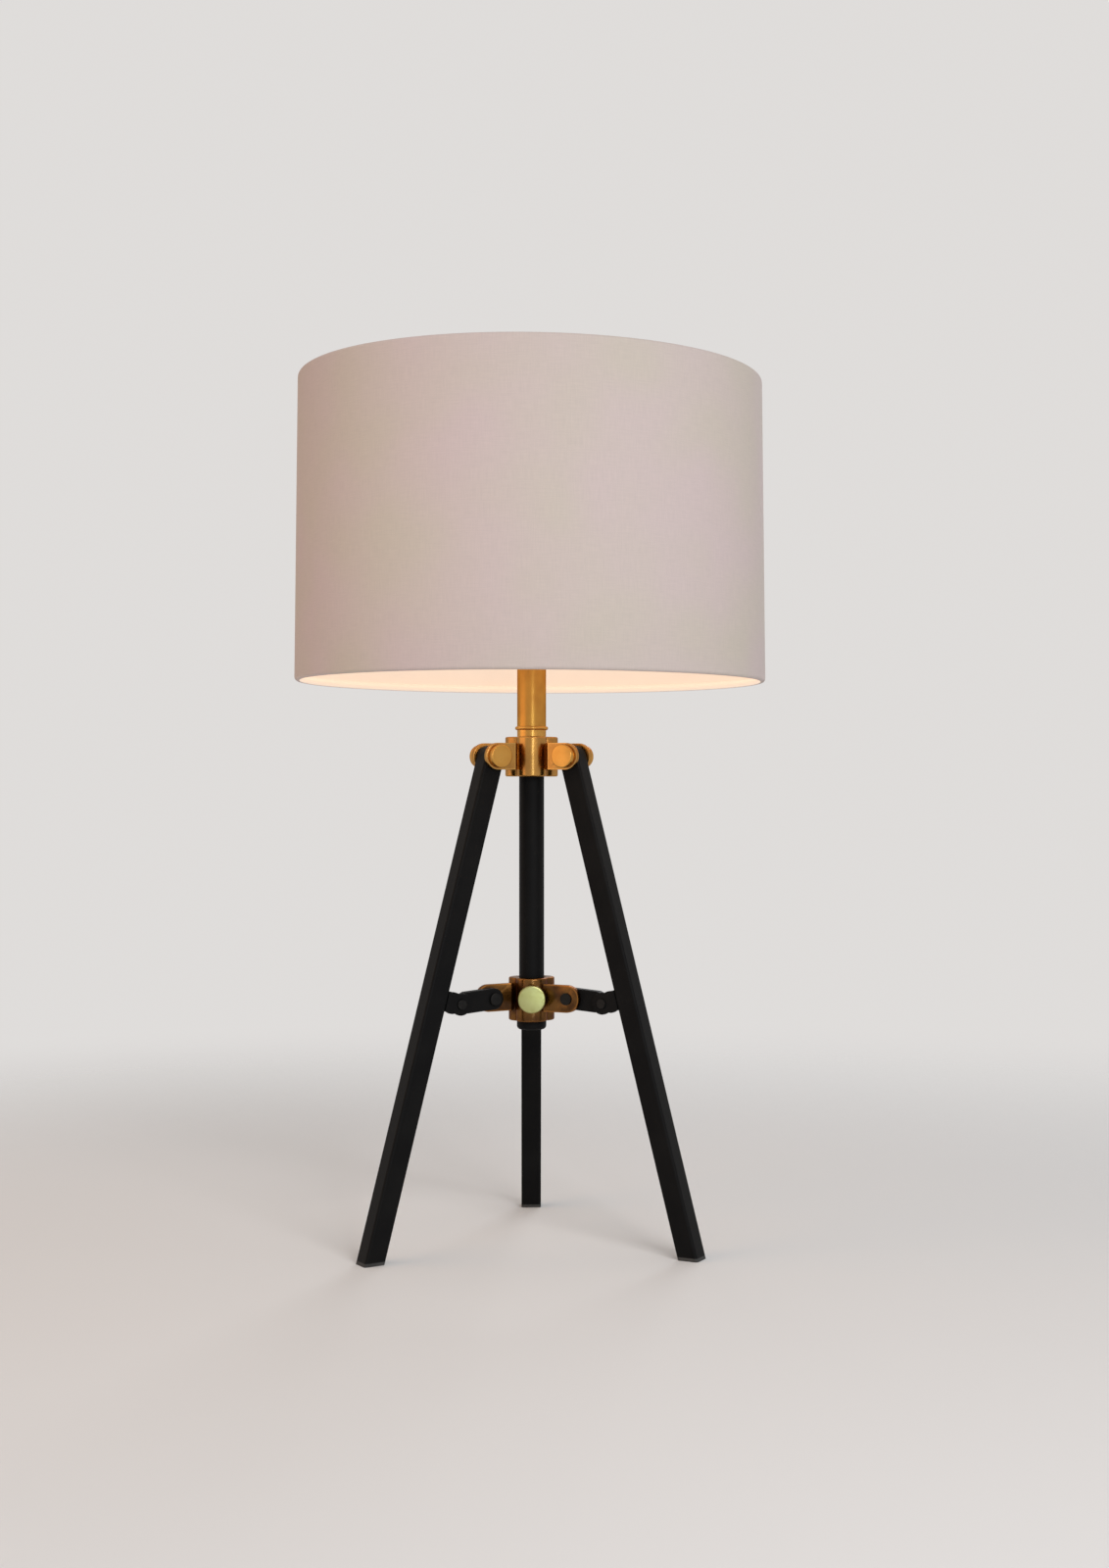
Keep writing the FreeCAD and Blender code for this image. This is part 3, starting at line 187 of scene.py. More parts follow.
floor_tree.links.new(floor_shader.outputs["BSDF"], floor_or_world.inputs[1])
floor_tree.links.new(see_through.outputs["BSDF"], floor_or_world.inputs[2])
floor_tree.links.new(floor_or_world.outputs["Shader"],
                     floor_tree.nodes["Material Output"].inputs["Surface"])
floor.data.materials.append(floor_finish)
print("floor fades from", FLOOR_FADE[0], "to", FLOOR_FADE[1], "m")

# %% [markdown]
# ## World
# A pale room in a photo is both a backdrop and a source of light.  Here the two are apart: the
# camera, gloss and glass see the backdrop at its full paleness, and everything else is lit
# more softly, so that pale surfaces don't turn white.  Light Path tells the rays apart.

# %% World
AMBIENT = 0.36
WHITE = (1, 1, 1, 1)
PALE_SKY = (0.74, 0.72, 0.705, 1)

world = bpy.data.worlds.new("studio")
bpy.context.scene.world = world
world.use_nodes = True
sky = world.node_tree
sky.nodes.clear()


def background(colour, strength):
    """Even light of one colour from all round."""
    node = sky.nodes.new("ShaderNodeBackground")
    set_inputs(node, {"Color": colour, "Strength": strength})
    return node.outputs[0]


path = sky.nodes.new("ShaderNodeLightPath")
seen_or_glossy = math_node(sky, "ADD", path.outputs["Is Camera Ray"],
                           path.outputs["Is Glossy Ray"])
backdrop_share = math_node(sky, "ADD", seen_or_glossy, path.outputs["Is Transmission Ray"])
backdrop_share.node.use_clamp = True
either = sky.nodes.new("ShaderNodeMixShader")
world_output = sky.nodes.new("ShaderNodeOutputWorld")
sky.links.new(backdrop_share, either.inputs["Fac"])
sky.links.new(background(WHITE, AMBIENT), either.inputs[1])
sky.links.new(background(PALE_SKY, 1), either.inputs[2])
sky.links.new(either.outputs[0], world_output.inputs["Surface"])
print("world lights with", AMBIENT, "and shows", PALE_SKY[:3])

# %% [markdown]
# ## Lamps
# A round metal tube shows the lamps as stripes, so their places and sizes matter more than
# their number.  One large soft light stands to the right of the camera, a warm one to the left,
# and a cool one behind, which draws the edges of the black metal.  A narrow strip in front does
# what a strip box does in a studio: it lays one clean bright line along every upright tube and
# boss.

# %% Lamps
LAMP_AIM = Vector((0, 0, 0.38))


def soft_lamp(name, place, width, height, watts, colour):
    """A flat lamp, unseen by the camera, that faces the middle of the object."""
    light = bpy.data.lights.new(name, "AREA")
    light.shape = "RECTANGLE"
    light.size = width
    light.size_y = height
    light.energy = watts
    light.color = colour
    lamp = bpy.data.objects.new(name, light)
    lamp.location = place
    lamp.rotation_euler = (LAMP_AIM - Vector(place)).to_track_quat("-Z", "Y").to_euler()
    lamp.visible_camera = False
    bpy.context.scene.collection.objects.link(lamp)


soft_lamp("key_right", place=(0.95, -2.1, 1.4), width=1.1, height=1.1, watts=28,
          colour=(1.0, 0.97, 0.97))
soft_lamp("warm_left", place=(-2.0, -0.5, 0.9), width=2.0, height=1.8, watts=11.5,
          colour=(1.0, 0.52, 0.2))
soft_lamp("rim_back", place=(0.6, 2.0, 1.3), width=0.8, height=0.8, watts=9,
          colour=(0.92, 0.96, 1.0))
soft_lamp("front_strip", place=(0.3, -1.9, 0.36), width=0.12, height=0.8, watts=3.0,
          colour=(0.75, 0.92, 1.0))

# %% [markdown]
# ## Effects that several finishes share
# An effect that many finishes need is a node group: it is built once, and each finish sets its
# inputs.  These few helpers build groups and the nodes that fill them.  A mixed colour or a
# stretched value comes back as a socket, so one line can feed the next.

# %% Helpers for node groups
FLOAT, COLOUR, VECTOR = "NodeSocketFloat", "NodeSocketColor", "NodeSocketVector"


def new_group(name, takes, gives):
    """A shader node group with named sockets, and its input and output nodes."""
    group = bpy.data.node_groups.new(name, "ShaderNodeTree")
    for label, kind, value in takes:
        socket = group.interface.new_socket(name=label, in_out="INPUT", socket_type=kind)
        socket.default_value = value
    for label, kind in gives:
        group.interface.new_socket(name=label, in_out="OUTPUT", socket_type=kind)
    return group, group.nodes.new("NodeGroupInput"), group.nodes.new("NodeGroupOutput")


def placed_group(tree, group, values):
    """A group's node in a material, with its inputs set."""
    node = tree.nodes.new("ShaderNodeGroup")
    node.node_tree = group
    set_inputs(node, values)
    return node


print("sockets may be:", FLOAT, COLOUR, VECTOR)

# %% Helpers for the nodes in a group
def colour_mix(tree, factor, first, second, blend="MIX"):
    """The result of a Mix node for colours; each input is a socket or a value."""
    node = tree.nodes.new("ShaderNodeMix")
    node.data_type = "RGBA"
    node.blend_type = blend
    colour_inputs = (node.inputs[0], node.inputs[6], node.inputs[7])
    for socket, value in zip(colour_inputs, (factor, first, second)):
        if isinstance(value, bpy.types.NodeSocket):
            tree.links.new(value, socket)
        else:
            socket.default_value = value
    return node.outputs[2]


def stretched_contrast(tree, value, limits):
    """The part of a value's range between two limits, drawn out to 0 and 1."""
    node = tree.nodes.new("ShaderNodeMapRange")
    set_inputs(node, {"From Min": limits[0], "From Max": limits[1]})
    tree.links.new(value, node.inputs["Value"])
    return node.outputs["Result"]


def object_place(tree):
    """Where a point lies on the object, in metres."""
    return tree.nodes.new("ShaderNodeTexCoord").outputs["Object"]


def noise_of_size(tree, coordinates, size, detail):
    """Noise whose lumps have about the given size."""
    noise = tree.nodes.new("ShaderNodeTexNoise")
    noise.inputs["Detail"].default_value = detail
    tree.links.new(coordinates, noise.inputs["Vector"])
    tree.links.new(math_node(tree, "DIVIDE", 1.0, size), noise.inputs["Scale"])
    return noise.outputs["Fac"]


print("helpers for the nodes in a group are ready")

# %% [markdown]
# ## Uneven surface
# Cast brass, turned brass, powder coat and rubber all have a fine uneven surface: a grain that
# can be felt, and larger patches where the metal or the paint has another tone and gloss.  A
# painted texture would need every piece unwrapped.  Noise in object coordinates needs nothing
# and runs on evenly from face to face.  The group makes both from it and puts out a colour, a
# roughness and a height, and each finish sets its own sizes and strengths.  The grain can be
# drawn out in one direction, for a brushed tube.

# %% Uneven surface group
GRAIN_DETAIL, PATCH_DETAIL = 3, 2
PATCH_LIMITS = (0.38, 0.66)

uneven, uneven_in, uneven_out = new_group("uneven_surface", [
    ("Colour", COLOUR, (0.5, 0.5, 0.5, 1)), ("Worn Colour", COLOUR, (0.4, 0.4, 0.4, 1)),
    ("Grain Size", FLOAT, 1 * MM), ("Patch Size", FLOAT, 20 * MM),
    ("Stretch", VECTOR, (1, 1, 1)),
    ("Roughness", FLOAT, 0.4), ("Roughness Spread", FLOAT, 0.1),
], [("Colour", COLOUR), ("Roughness", FLOAT), ("Height", FLOAT)])
point = object_place(uneven)
stretched = uneven.nodes.new("ShaderNodeVectorMath")
stretched.operation = "MULTIPLY"
uneven.links.new(point, stretched.inputs[0])
uneven.links.new(uneven_in.outputs["Stretch"], stretched.inputs[1])
grain = noise_of_size(uneven, stretched.outputs[0], uneven_in.outputs["Grain Size"],
                      GRAIN_DETAIL)
patches = noise_of_size(uneven, point, uneven_in.outputs["Patch Size"], PATCH_DETAIL)
patched = colour_mix(uneven, stretched_contrast(uneven, patches, PATCH_LIMITS),
                     uneven_in.outputs["Colour"], uneven_in.outputs["Worn Colour"])
gloss_shift = math_node(uneven, "MULTIPLY", math_node(uneven, "SUBTRACT", patches, 0.5),
                        uneven_in.outputs["Roughness Spread"])
uneven.links.new(patched, uneven_out.inputs["Colour"])
uneven.links.new(math_node(uneven, "ADD", uneven_in.outputs["Roughness"], gloss_shift),
                 uneven_out.inputs["Roughness"])
uneven.links.new(grain, uneven_out.inputs["Height"])
print("uneven_surface takes:", [socket.name for socket in uneven_in.outputs if socket.name])

# %% [markdown]
# ## Worn edges with painted highlights, and corners with painted shade
# Hands rub the edges of cast brass clean; the lighter edges here are that wear and also a
# painted highlight, where a rounded edge would catch the light.  The darker corners are
# painted shade, with a little tarnish.  An Ambient Occlusion node can tell both places.
# Turned to the inside, it finds where the metal is thin, which is along an edge; turned
# outwards, it finds where other faces are near, which is in a corner.  A mask painted by hand
# would fit one shape only, and this one finds the edges of any.  Both hubs get it, so it is a
# group, and each casting gives its colours and reach.

# %% Edge wear and painted shade group
OPENNESS_SAMPLES = 8
EDGE_LIMITS = (0.92, 0.6)
FACE_LIMITS = (0.1, 0.75)

wear_shade_group, wear_shade_in, wear_shade_out = new_group("edge_wear_and_shade", [
    ("Colour", COLOUR, (0.5, 0.5, 0.5, 1)),
    ("Worn Lit Edge Colour", COLOUR, (0.8, 0.8, 0.8, 1)), ("Edge Reach", FLOAT, 1.0 * MM),
    ("Tarnish Shade Colour", COLOUR, (0.1, 0.1, 0.1, 1)), ("Recess Reach", FLOAT, 3.0 * MM),
], [("Colour", COLOUR)])


def openness(reach, inside):
    """How free a point is of faces within reach, outside the metal or inside it."""
    node = wear_shade_group.nodes.new("ShaderNodeAmbientOcclusion")
    node.inside = inside
    node.samples = OPENNESS_SAMPLES
    wear_shade_group.links.new(reach, node.inputs["Distance"])
    return node.outputs["AO"]


thinness = openness(wear_shade_in.outputs["Edge Reach"], inside=True)
# lighter edges: wear, and a painted highlight
lit_edges_colour = colour_mix(wear_shade_group, stretched_contrast(wear_shade_group, thinness, EDGE_LIMITS),
                    wear_shade_in.outputs["Colour"], wear_shade_in.outputs["Worn Lit Edge Colour"])
clearness = openness(wear_shade_in.outputs["Recess Reach"], inside=False)
# darker corners: painted shade, with a little tarnish
shaded_corners_colour = colour_mix(wear_shade_group, stretched_contrast(wear_shade_group, clearness, FACE_LIMITS),
                       wear_shade_in.outputs["Tarnish Shade Colour"], lit_edges_colour)
wear_shade_group.links.new(shaded_corners_colour, wear_shade_out.inputs["Colour"])
print("edge_wear_and_shade takes:", [socket.name for socket in wear_shade_in.outputs if socket.name])

# %% [markdown]
# ## Brass
# Brass takes its colour from the metal itself, so the base colour is what it mirrors.  Seen
# flat on it is golden, and towards a grazing angle it mirrors a darker, redder tone, which is
# the shader's specular tint.  A thin coat stands for the lacquer.  The hubs are cast and
# uneven, the neck is a brushed tube, the bolts and the knob are turned and smooth.  The lower
# hub's brass is far darker than the metal: that darkness is painted shade.  Each is one
# Principled shader fed by the shared groups, and only the values differ.

# %% Finish helpers
def add_relief(tree, shader, height, depth):
    """Lets light play over a height that is too fine to model."""
    relief = tree.nodes.new("ShaderNodeBump")
    set_inputs(relief, {"Strength": 1, "Distance": depth})
    tree.links.new(height, relief.inputs["Height"])
    tree.links.new(relief.outputs["Normal"], shader.inputs["Normal"])


def finish(name, colour, worn, metallic, roughness, grain_size, grain_depth,
           patch_size=20 * MM, roughness_spread=0.1, stretch=(1, 1, 1), settings=None):
    """A material made from the shared uneven surface; settings go to its shader."""
    material, shader = new_material(name, {"Metallic": metallic, **(settings or {})})
    tree = material.node_tree
    surface = placed_group(tree, uneven, {
        "Colour": (*colour, 1), "Worn Colour": (*worn, 1), "Grain Size": grain_size,
        "Patch Size": patch_size, "Stretch": stretch, "Roughness": roughness,
        "Roughness Spread": roughness_spread})
    tree.links.new(surface.outputs["Colour"], shader.inputs["Base Color"])
    tree.links.new(surface.outputs["Roughness"], shader.inputs["Roughness"])
    add_relief(tree, shader, surface.outputs["Height"], grain_depth)
    return material


print("helpers for finishes are ready")

# %% Brass finishes
REDDER = {"Specular Tint": (0.6, 0.42, 0.3, 1)}
LACQUER = {**REDDER, "Coat Weight": 0.35, "Coat Roughness": 0.14}
OLD_LACQUER = {**REDDER, "Coat Weight": 0.25, "Coat Roughness": 0.18}
THIN_LACQUER = {**REDDER, "Coat Weight": 0.15, "Coat Roughness": 0.2}

cast_brass = finish("cast_brass", colour=(0.47, 0.235, 0.05), worn=(0.34, 0.155, 0.032),
                    metallic=1, roughness=0.27, grain_size=2.2 * MM, grain_depth=0.04 * MM,
                    patch_size=18 * MM, roughness_spread=0.16, settings=LACQUER)
# the lower hub's brass, painted far darker than the metal: painted shade
brass_painted_dark = finish("brass_painted_dark", colour=(0.15, 0.066, 0.013), worn=(0.058, 0.022, 0.005),
                    metallic=1, roughness=0.28, grain_size=1.8 * MM, grain_depth=0.06 * MM,
                    patch_size=12 * MM, roughness_spread=0.2, settings=OLD_LACQUER)
brushed_brass = finish("brushed_brass", colour=(0.51, 0.25, 0.045), worn=(0.44, 0.20, 0.035),
                       metallic=1, roughness=0.34, grain_size=0.7 * MM,
                       grain_depth=0.01 * MM, patch_size=15 * MM, stretch=(1, 1, 0.03),
                       settings=THIN_LACQUER)
turned_brass = finish("turned_brass", colour=(0.59, 0.305, 0.06), worn=(0.54, 0.265, 0.048),
                      metallic=1, roughness=0.29, grain_size=0.5 * MM,
                      grain_depth=0.006 * MM, patch_size=9 * MM, settings=LACQUER)
pale_brass = finish("pale_brass", colour=(0.41, 0.405, 0.17), worn=(0.35, 0.34, 0.125),
                    metallic=1, roughness=0.3, grain_size=0.6 * MM, grain_depth=0.006 * MM,
                    patch_size=8 * MM, settings=LACQUER)
sheet_brass = finish("sheet_brass", colour=(0.72, 0.48, 0.16), worn=(0.62, 0.38, 0.11),
                     metallic=1, roughness=0.28, grain_size=0.8 * MM, grain_depth=0.03 * MM)
print("brass finishes:", [m.name for m in bpy.data.materials if "brass" in m.name])

# %% Wear, painted highlights and painted shade on the castings
def add_wear_and_painted_shade(material, polish_and_highlight, edge_reach, tarnish_and_shade, recess_reach):
    """Puts edge wear with a painted highlight, and painted shade in the corners, between a
    finish's own colour and its shader.
    """
    tree = material.node_tree
    base = tree.nodes["Principled BSDF"].inputs["Base Color"]
    worn = placed_group(tree, wear_shade_group, {
        "Worn Lit Edge Colour": (*polish_and_highlight, 1), "Edge Reach": edge_reach,
        "Tarnish Shade Colour": (*tarnish_and_shade, 1), "Recess Reach": recess_reach})
    tree.links.new(base.links[0].from_socket, worn.inputs["Colour"])
    tree.links.new(worn.outputs["Colour"], base)


# lighter edges: wear and painted highlight; darker corners: painted shade, with a little
# tarnish
add_wear_and_painted_shade(cast_brass, polish_and_highlight=(0.60, 0.33, 0.09), edge_reach=1.2 * MM,
         tarnish_and_shade=(0.28, 0.09, 0.01), recess_reach=2.5 * MM)
add_wear_and_painted_shade(brass_painted_dark, polish_and_highlight=(0.36, 0.15, 0.03), edge_reach=1.8 * MM,
         tarnish_and_shade=(0.05, 0.018, 0.005), recess_reach=4.0 * MM)
print("worn:", cast_brass.name, "and", brass_painted_dark.name)

# %% [markdown]
# ## Black metal, zinc, rubber and the rest
# The legs, the pole and the braces have a powder coat: a dark paint with a fine pebble and
# little shine.  The small screws are blackened steel, a little glossier.  The rod and the harp
# inside the shade are zinc plated, the shade's wires are painted white, and the socket has its
# usual dark plastic and pressed card.  The feet stand on rubber.

# %% Other finishes
black_coat = finish("black_coat", colour=(0.0045, 0.0045, 0.0048),
                    worn=(0.0068, 0.0067, 0.0067), metallic=0, roughness=0.52,
                    grain_size=0.7 * MM, grain_depth=0.06 * MM, patch_size=30 * MM,
                    roughness_spread=0.12, settings={"Specular IOR Level": 0.07})
black_oxide = finish("black_oxide", colour=(0.005, 0.0048, 0.0047),
                     worn=(0.009, 0.0085, 0.008), metallic=0, roughness=0.4,
                     grain_size=0.8 * MM, grain_depth=0.03 * MM, patch_size=4 * MM,
                     settings={"Specular IOR Level": 0.16})
zinc = finish("zinc", colour=(0.60, 0.60, 0.58), worn=(0.48, 0.48, 0.47), metallic=1,
              roughness=0.35, grain_size=1.0 * MM, grain_depth=0.03 * MM, patch_size=5 * MM)
rubber = finish("rubber", colour=(0.022, 0.022, 0.022), worn=(0.04, 0.039, 0.037),
                metallic=0, roughness=0.75, grain_size=0.6 * MM, grain_depth=0.05 * MM)
phenolic = finish("phenolic", colour=(0.018, 0.016, 0.015), worn=(0.03, 0.025, 0.022),
                  metallic=0, roughness=0.35, grain_size=1.2 * MM, grain_depth=0.02 * MM)
pressed_card = finish("pressed_card", colour=(0.42, 0.30, 0.19), worn=(0.34, 0.24, 0.15),
                      metallic=0, roughness=0.85, grain_size=0.8 * MM,
                      grain_depth=0.06 * MM)
white_coat = finish("white_coat", colour=(0.74, 0.71, 0.66), worn=(0.66, 0.62, 0.56),
                    metallic=0, roughness=0.4, grain_size=1.2 * MM, grain_depth=0.03 * MM)
print("finishes so far:", len(bpy.data.materials))

# %% [markdown]
# ## Weave
# The fabric is a fine plain weave: two sets of threads, one round the shade and one up it,
# with the odd thicker thread.  The threads could be a texture on unwrapped cloth, but a drum
# needs no unwrapping: the way round it is an angle times a radius, and the way up is a height.

# %% Weave group
SLUB_RATIO = 14.0
SLUB_DETAIL = 2
SLUB_LIMITS = (0.7, 1.3)

weave, weave_in, weave_out = new_group("plain_weave", [
    ("Thread", FLOAT, 0.6 * MM), ("Radius", FLOAT, 177 * MM), ("Slub Size", FLOAT, 12 * MM),
], [("Height", FLOAT), ("Slub", FLOAT)])
split = weave.nodes.new("ShaderNodeSeparateXYZ")
weave.links.new(object_place(weave), split.inputs[0])
# the angle is zero at the front, so it jumps at the back, where the seam hides the jump
to_front = math_node(weave, "MULTIPLY", split.outputs["Y"], -1.0)
angle = math_node(weave, "ARCTAN2", split.outputs["X"], to_front)
around = math_node(weave, "MULTIPLY", angle, weave_in.outputs["Radius"])
upward = split.outputs["Z"]


def threads(across):
    """A ridge for each thread that lies across the given length."""
    turns = math_node(weave, "DIVIDE", across, weave_in.outputs["Thread"])
    wave = math_node(weave, "SINE", math_node(weave, "MULTIPLY", turns, 2 * math.pi))
    return math_node(weave, "ADD", math_node(weave, "MULTIPLY", wave, 0.5), 0.5)


def slub(across, along):
    """Noise drawn out along a thread, so that some threads are thicker than others."""
    combine = weave.nodes.new("ShaderNodeCombineXYZ")
    weave.links.new(math_node(weave, "MULTIPLY", across, SLUB_RATIO), combine.inputs["X"])
    weave.links.new(along, combine.inputs["Y"])
    return noise_of_size(weave, combine.outputs[0], weave_in.outputs["Slub Size"],
                         SLUB_DETAIL)


thicker = math_node(weave, "ADD", slub(upward, around), slub(around, upward))
weave.links.new(math_node(weave, "MAXIMUM", threads(around), threads(upward)),
                weave_out.inputs["Height"])
weave.links.new(stretched_contrast(weave, thicker, SLUB_LIMITS), weave_out.inputs["Slub"])
print("plain_weave gives:", [socket.name for socket in weave_out.inputs if socket.name])

# %% [markdown]
# ## Glow
# The lamp is lit.  Light that soaks through a shade comes back out of every thread, strongest
# at the bulb's height.  To follow each ray through the cloth would be slow and full of noise,
# so the fabric, the lining and the bulb give off light by themselves.  The group makes it
# weaker with distance above and below the bulb, and each finish sets how far it reaches.

# %% Glow group
BLACK = (0, 0, 0, 1)

glow, glow_in, glow_out = new_group("glow_by_height", [
    ("Centre", FLOAT, 0.55), ("Reach", FLOAT, 0.13), ("Colour", COLOUR, (1, 0.8, 0.6, 1)),
], [("Colour", COLOUR)])
height = glow.nodes.new("ShaderNodeSeparateXYZ")
glow.links.new(object_place(glow), height.inputs[0])
above = math_node(glow, "SUBTRACT", height.outputs["Z"], glow_in.outputs["Centre"])
away = math_node(glow, "DIVIDE", above, glow_in.outputs["Reach"])
spent = math_node(glow, "ADD", 1.0, math_node(glow, "MULTIPLY", away, away))
glow.links.new(colour_mix(glow, math_node(glow, "DIVIDE", 1.0, spent), BLACK,
                          glow_in.outputs["Colour"]), glow_out.inputs["Colour"])

bulb_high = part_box("bulb_glass")[1]
bulb_middle = bulb_high.z - bulb_high.x


def add_glow(material, shader, reach, colour, strength):
    """Makes a finish give off light that is strongest at the bulb's height."""
    tree = material.node_tree
    lit = placed_group(tree, glow, {
        "Centre": bulb_middle, "Reach": reach, "Colour": (*colour, 1)})
    tree.links.new(lit.outputs["Colour"], shader.inputs["Emission Color"])
    shader.inputs["Emission Strength"].default_value = strength


print("the glow is strongest %.3f m above the table" % bulb_middle)

# %% [markdown]
# ## Fabric of the shade
# The cloth is not one colour: it wanders between a pinkish and a greyish tone over a hand's
# width, and thicker threads are a shade darker.  The first comes from one large soft noise and
# the second from the weave's slubs, multiplied over it.  A little sheen makes it soft at the
# shade's sides.

# %% Fabric
THREAD = 0.7 * MM
WEAVE_DEPTH = 0.06 * MM
PINK_CLOTH, GREY_CLOTH = (0.652, 0.545, 0.542, 1), (0.625, 0.56, 0.495, 1)
PALE_THREAD, DARK_THREAD = (1.02, 1.015, 1.01, 1), (0.95, 0.95, 0.95, 1)
DYE_SCALE, DYE_DETAIL = 14, 1
DYE_LIMITS = (0.3, 0.7)

fabric, fabric_shader = new_material("shade_fabric", {
    "Roughness": 0.9, "Specular IOR Level": 0.2, "Sheen Weight": 0.15})
cloth = fabric.node_tree
woven = placed_group(cloth, weave, {"Thread": THREAD})
add_relief(cloth, fabric_shader, woven.outputs["Height"], WEAVE_DEPTH)
dye = cloth.nodes.new("ShaderNodeTexNoise")
set_inputs(dye, {"Scale": DYE_SCALE, "Detail": DYE_DETAIL})
cloth.links.new(object_place(cloth), dye.inputs["Vector"])
dyed = colour_mix(cloth, stretched_contrast(cloth, dye.outputs["Fac"], DYE_LIMITS),
                  PINK_CLOTH, GREY_CLOTH)
thread_tone = colour_mix(cloth, woven.outputs["Slub"], PALE_THREAD, DARK_THREAD)
cloth.links.new(colour_mix(cloth, 1.0, dyed, thread_tone, blend="MULTIPLY"),
                fabric_shader.inputs["Base Color"])
add_glow(fabric, fabric_shader, reach=0.16, colour=(1.0, 0.72, 0.5), strength=0.03)
print("threads are %.1f mm apart" % (THREAD / MM))

# %% [markdown]
# ## Lining and bulb
# The card behind the cloth is pale and smooth, and close to the bulb, so it is by far the
# brightest surface.  Its glow reaches from rim to rim.  The bulb is frosted: its glow is
# strong only round its middle, so it still looks round and not like a flat white disc.

# %% Lining and glass
lining, lining_shader = new_material("shade_lining", {
    "Base Color": (0.66, 0.58, 0.48, 1), "Roughness": 0.7})
add_glow(lining, lining_shader, reach=0.45, colour=(1.0, 0.755, 0.595), strength=0.62)

frosted, frosted_shader = new_material("frosted_glass", {
    "Base Color": (0.50, 0.46, 0.40, 1), "Roughness": 0.35})
add_glow(frosted, frosted_shader, reach=0.05, colour=(1.0, 0.80, 0.56), strength=0.85)
print("materials:", len(bpy.data.materials))

# %% [markdown]
# ## Dressing the frame
# The pieces of the frame whose shape is right stay, and get their finish in their material
# slots.  A dictionary from finish to nodes keeps that readable.

# %% Finish of each node
LEGS = ("right", "rear", "left")


def on_legs(pattern):
    """The names of the three nodes of one kind, one at each leg."""
    return [pattern % leg for leg in LEGS]


worn_by = {
    cast_brass: ["upper_hub"],
    # the lower hub: brass painted dark, as painted shade
    brass_painted_dark: ["lower_hub"],
    brushed_brass: ["neck_tube"],
    turned_brass: ["leg_bolts", "leg_bolt_caps", "neck_collar", "neck_cap", "harp_stud",
                   "finial"],
    pale_brass: ["lock_knob"],
    sheet_brass: ["socket_cap", "socket_shell", "screw_shell", "centre_contact"],
    black_coat: ["pole", "pole_end_cap", *on_legs("leg_%s"), *on_legs("leg_bracket_%s"),
                 *on_legs("brace_%s")],
    black_oxide: ["brace_screws", *on_legs("bracket_screws_%s")],
    zinc: ["threaded_rod", "rod_nut", "harp_saddle", "harp", "harp_ferrules", "lock_screw",
           "bulb_cap"],
    rubber: ["cord_bushing", *on_legs("foot_pad_%s")],
    phenolic: ["switch_block", "switch_key"],
    pressed_card: ["socket_sleeve"],
    white_coat: ["shade_foot_ring", "shade_top_ring", "spider_washer", "spider_arms"],
    lining: ["shade_backing"],
    fabric: ["shade_fabric"],
    frosted: ["bulb_glass"],
}
finish_of = {name: material for material, names in worn_by.items() for name in names}
for name, node in nodes.items():
    node.data.materials.clear()
    node.data.materials.append(finish_of[name])
print("dressed:", len(finish_of), "of", len(nodes))

# %% [markdown]
# ## Shade
# A drum shade is fabric on a stiff lining, with a wire ring at each rim.  The fabric is rolled
# round the ring and glued down inside, which makes the soft rounded rim.  It could be a tube
# with a bevel at each end, but then the hem inside would be missing.  So its section is drawn
# once, from the inside over the foot, up the outside and over the top, and spun round the
# axis.  The wall gets its thickness afterwards.

# %% Size of the shade
RIM_REACH = 1.0 * MM
skin_low, skin_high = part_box("shade_fabric")


def widest_at(height):
    """The largest radius of the fabric's points near a height."""
    return max(v.co.xy.length for v in nodes["shade_fabric"].data.vertices
               if abs(v.co.z - height) < RIM_REACH)


foot_radius = widest_at(skin_low.z)
top_radius = widest_at(skin_high.z)


def wall_radius(height):
    """Radius of the shade's outer face at a height."""
    share = (height - skin_low.z) / (skin_high.z - skin_low.z)
    return foot_radius + (top_radius - foot_radius) * share


print("radius %.4f m at the foot, %.4f m at the top" % (foot_radius, top_radius))

# %% Section of the shade
ROLL_RADIUS = 2.6 * MM
HEM_HEIGHT = 5.6 * MM
HEM_INSET = 2.1 * MM
ROLL_STEPS = 8
WALL_SHARES = (0.25, 0.5, 0.75)


def rolled_rim(radius, edge, inwards):
    """Points of a rim's section, from the hem inside to the outer face.

    inwards is +1 where the shade's wall lies above the rim and -1 where it lies below.
    """
    centre = edge + inwards * ROLL_RADIUS
    points = [(radius - HEM_INSET, edge + inwards * HEM_HEIGHT)]
    for step in range(ROLL_STEPS + 1):
        swing = math.pi * (1 - step / ROLL_STEPS)
        points.append((radius - ROLL_RADIUS + ROLL_RADIUS * math.cos(swing),
                       centre - inwards * ROLL_RADIUS * math.sin(swing)))
    return points


shade_section = rolled_rim(foot_radius, skin_low.z, 1)
shade_section += [(foot_radius + (top_radius - foot_radius) * share,
                   skin_low.z + (skin_high.z - skin_low.z) * share) for share in WALL_SHARES]
shade_section += reversed(rolled_rim(top_radius, skin_high.z, -1))
print("section of", len(shade_section), "points")

# %% Spinning a section
WELD = 0.002 * MM


def drawn_line(shape, places):
    """Points joined by edges, as a spin takes them."""
    points = [shape.verts.new(place) for place in places]
    return points + [shape.edges.new(pair) for pair in zip(points, points[1:])]


def spun(shape, section, steps):
    """Turns a section of (radius, height) points round the Z axis."""
    line = drawn_line(shape, [(radius, 0, height) for radius, height in section])
    bmesh.ops.spin(shape, geom=line, cent=(0, 0, 0), axis=(0, 0, 1), angle=2 * math.pi,
                   steps=steps, use_merge=True)
    bmesh.ops.remove_doubles(shape, verts=shape.verts, dist=WELD)
    bmesh.ops.recalc_face_normals(shape, faces=shape.faces)


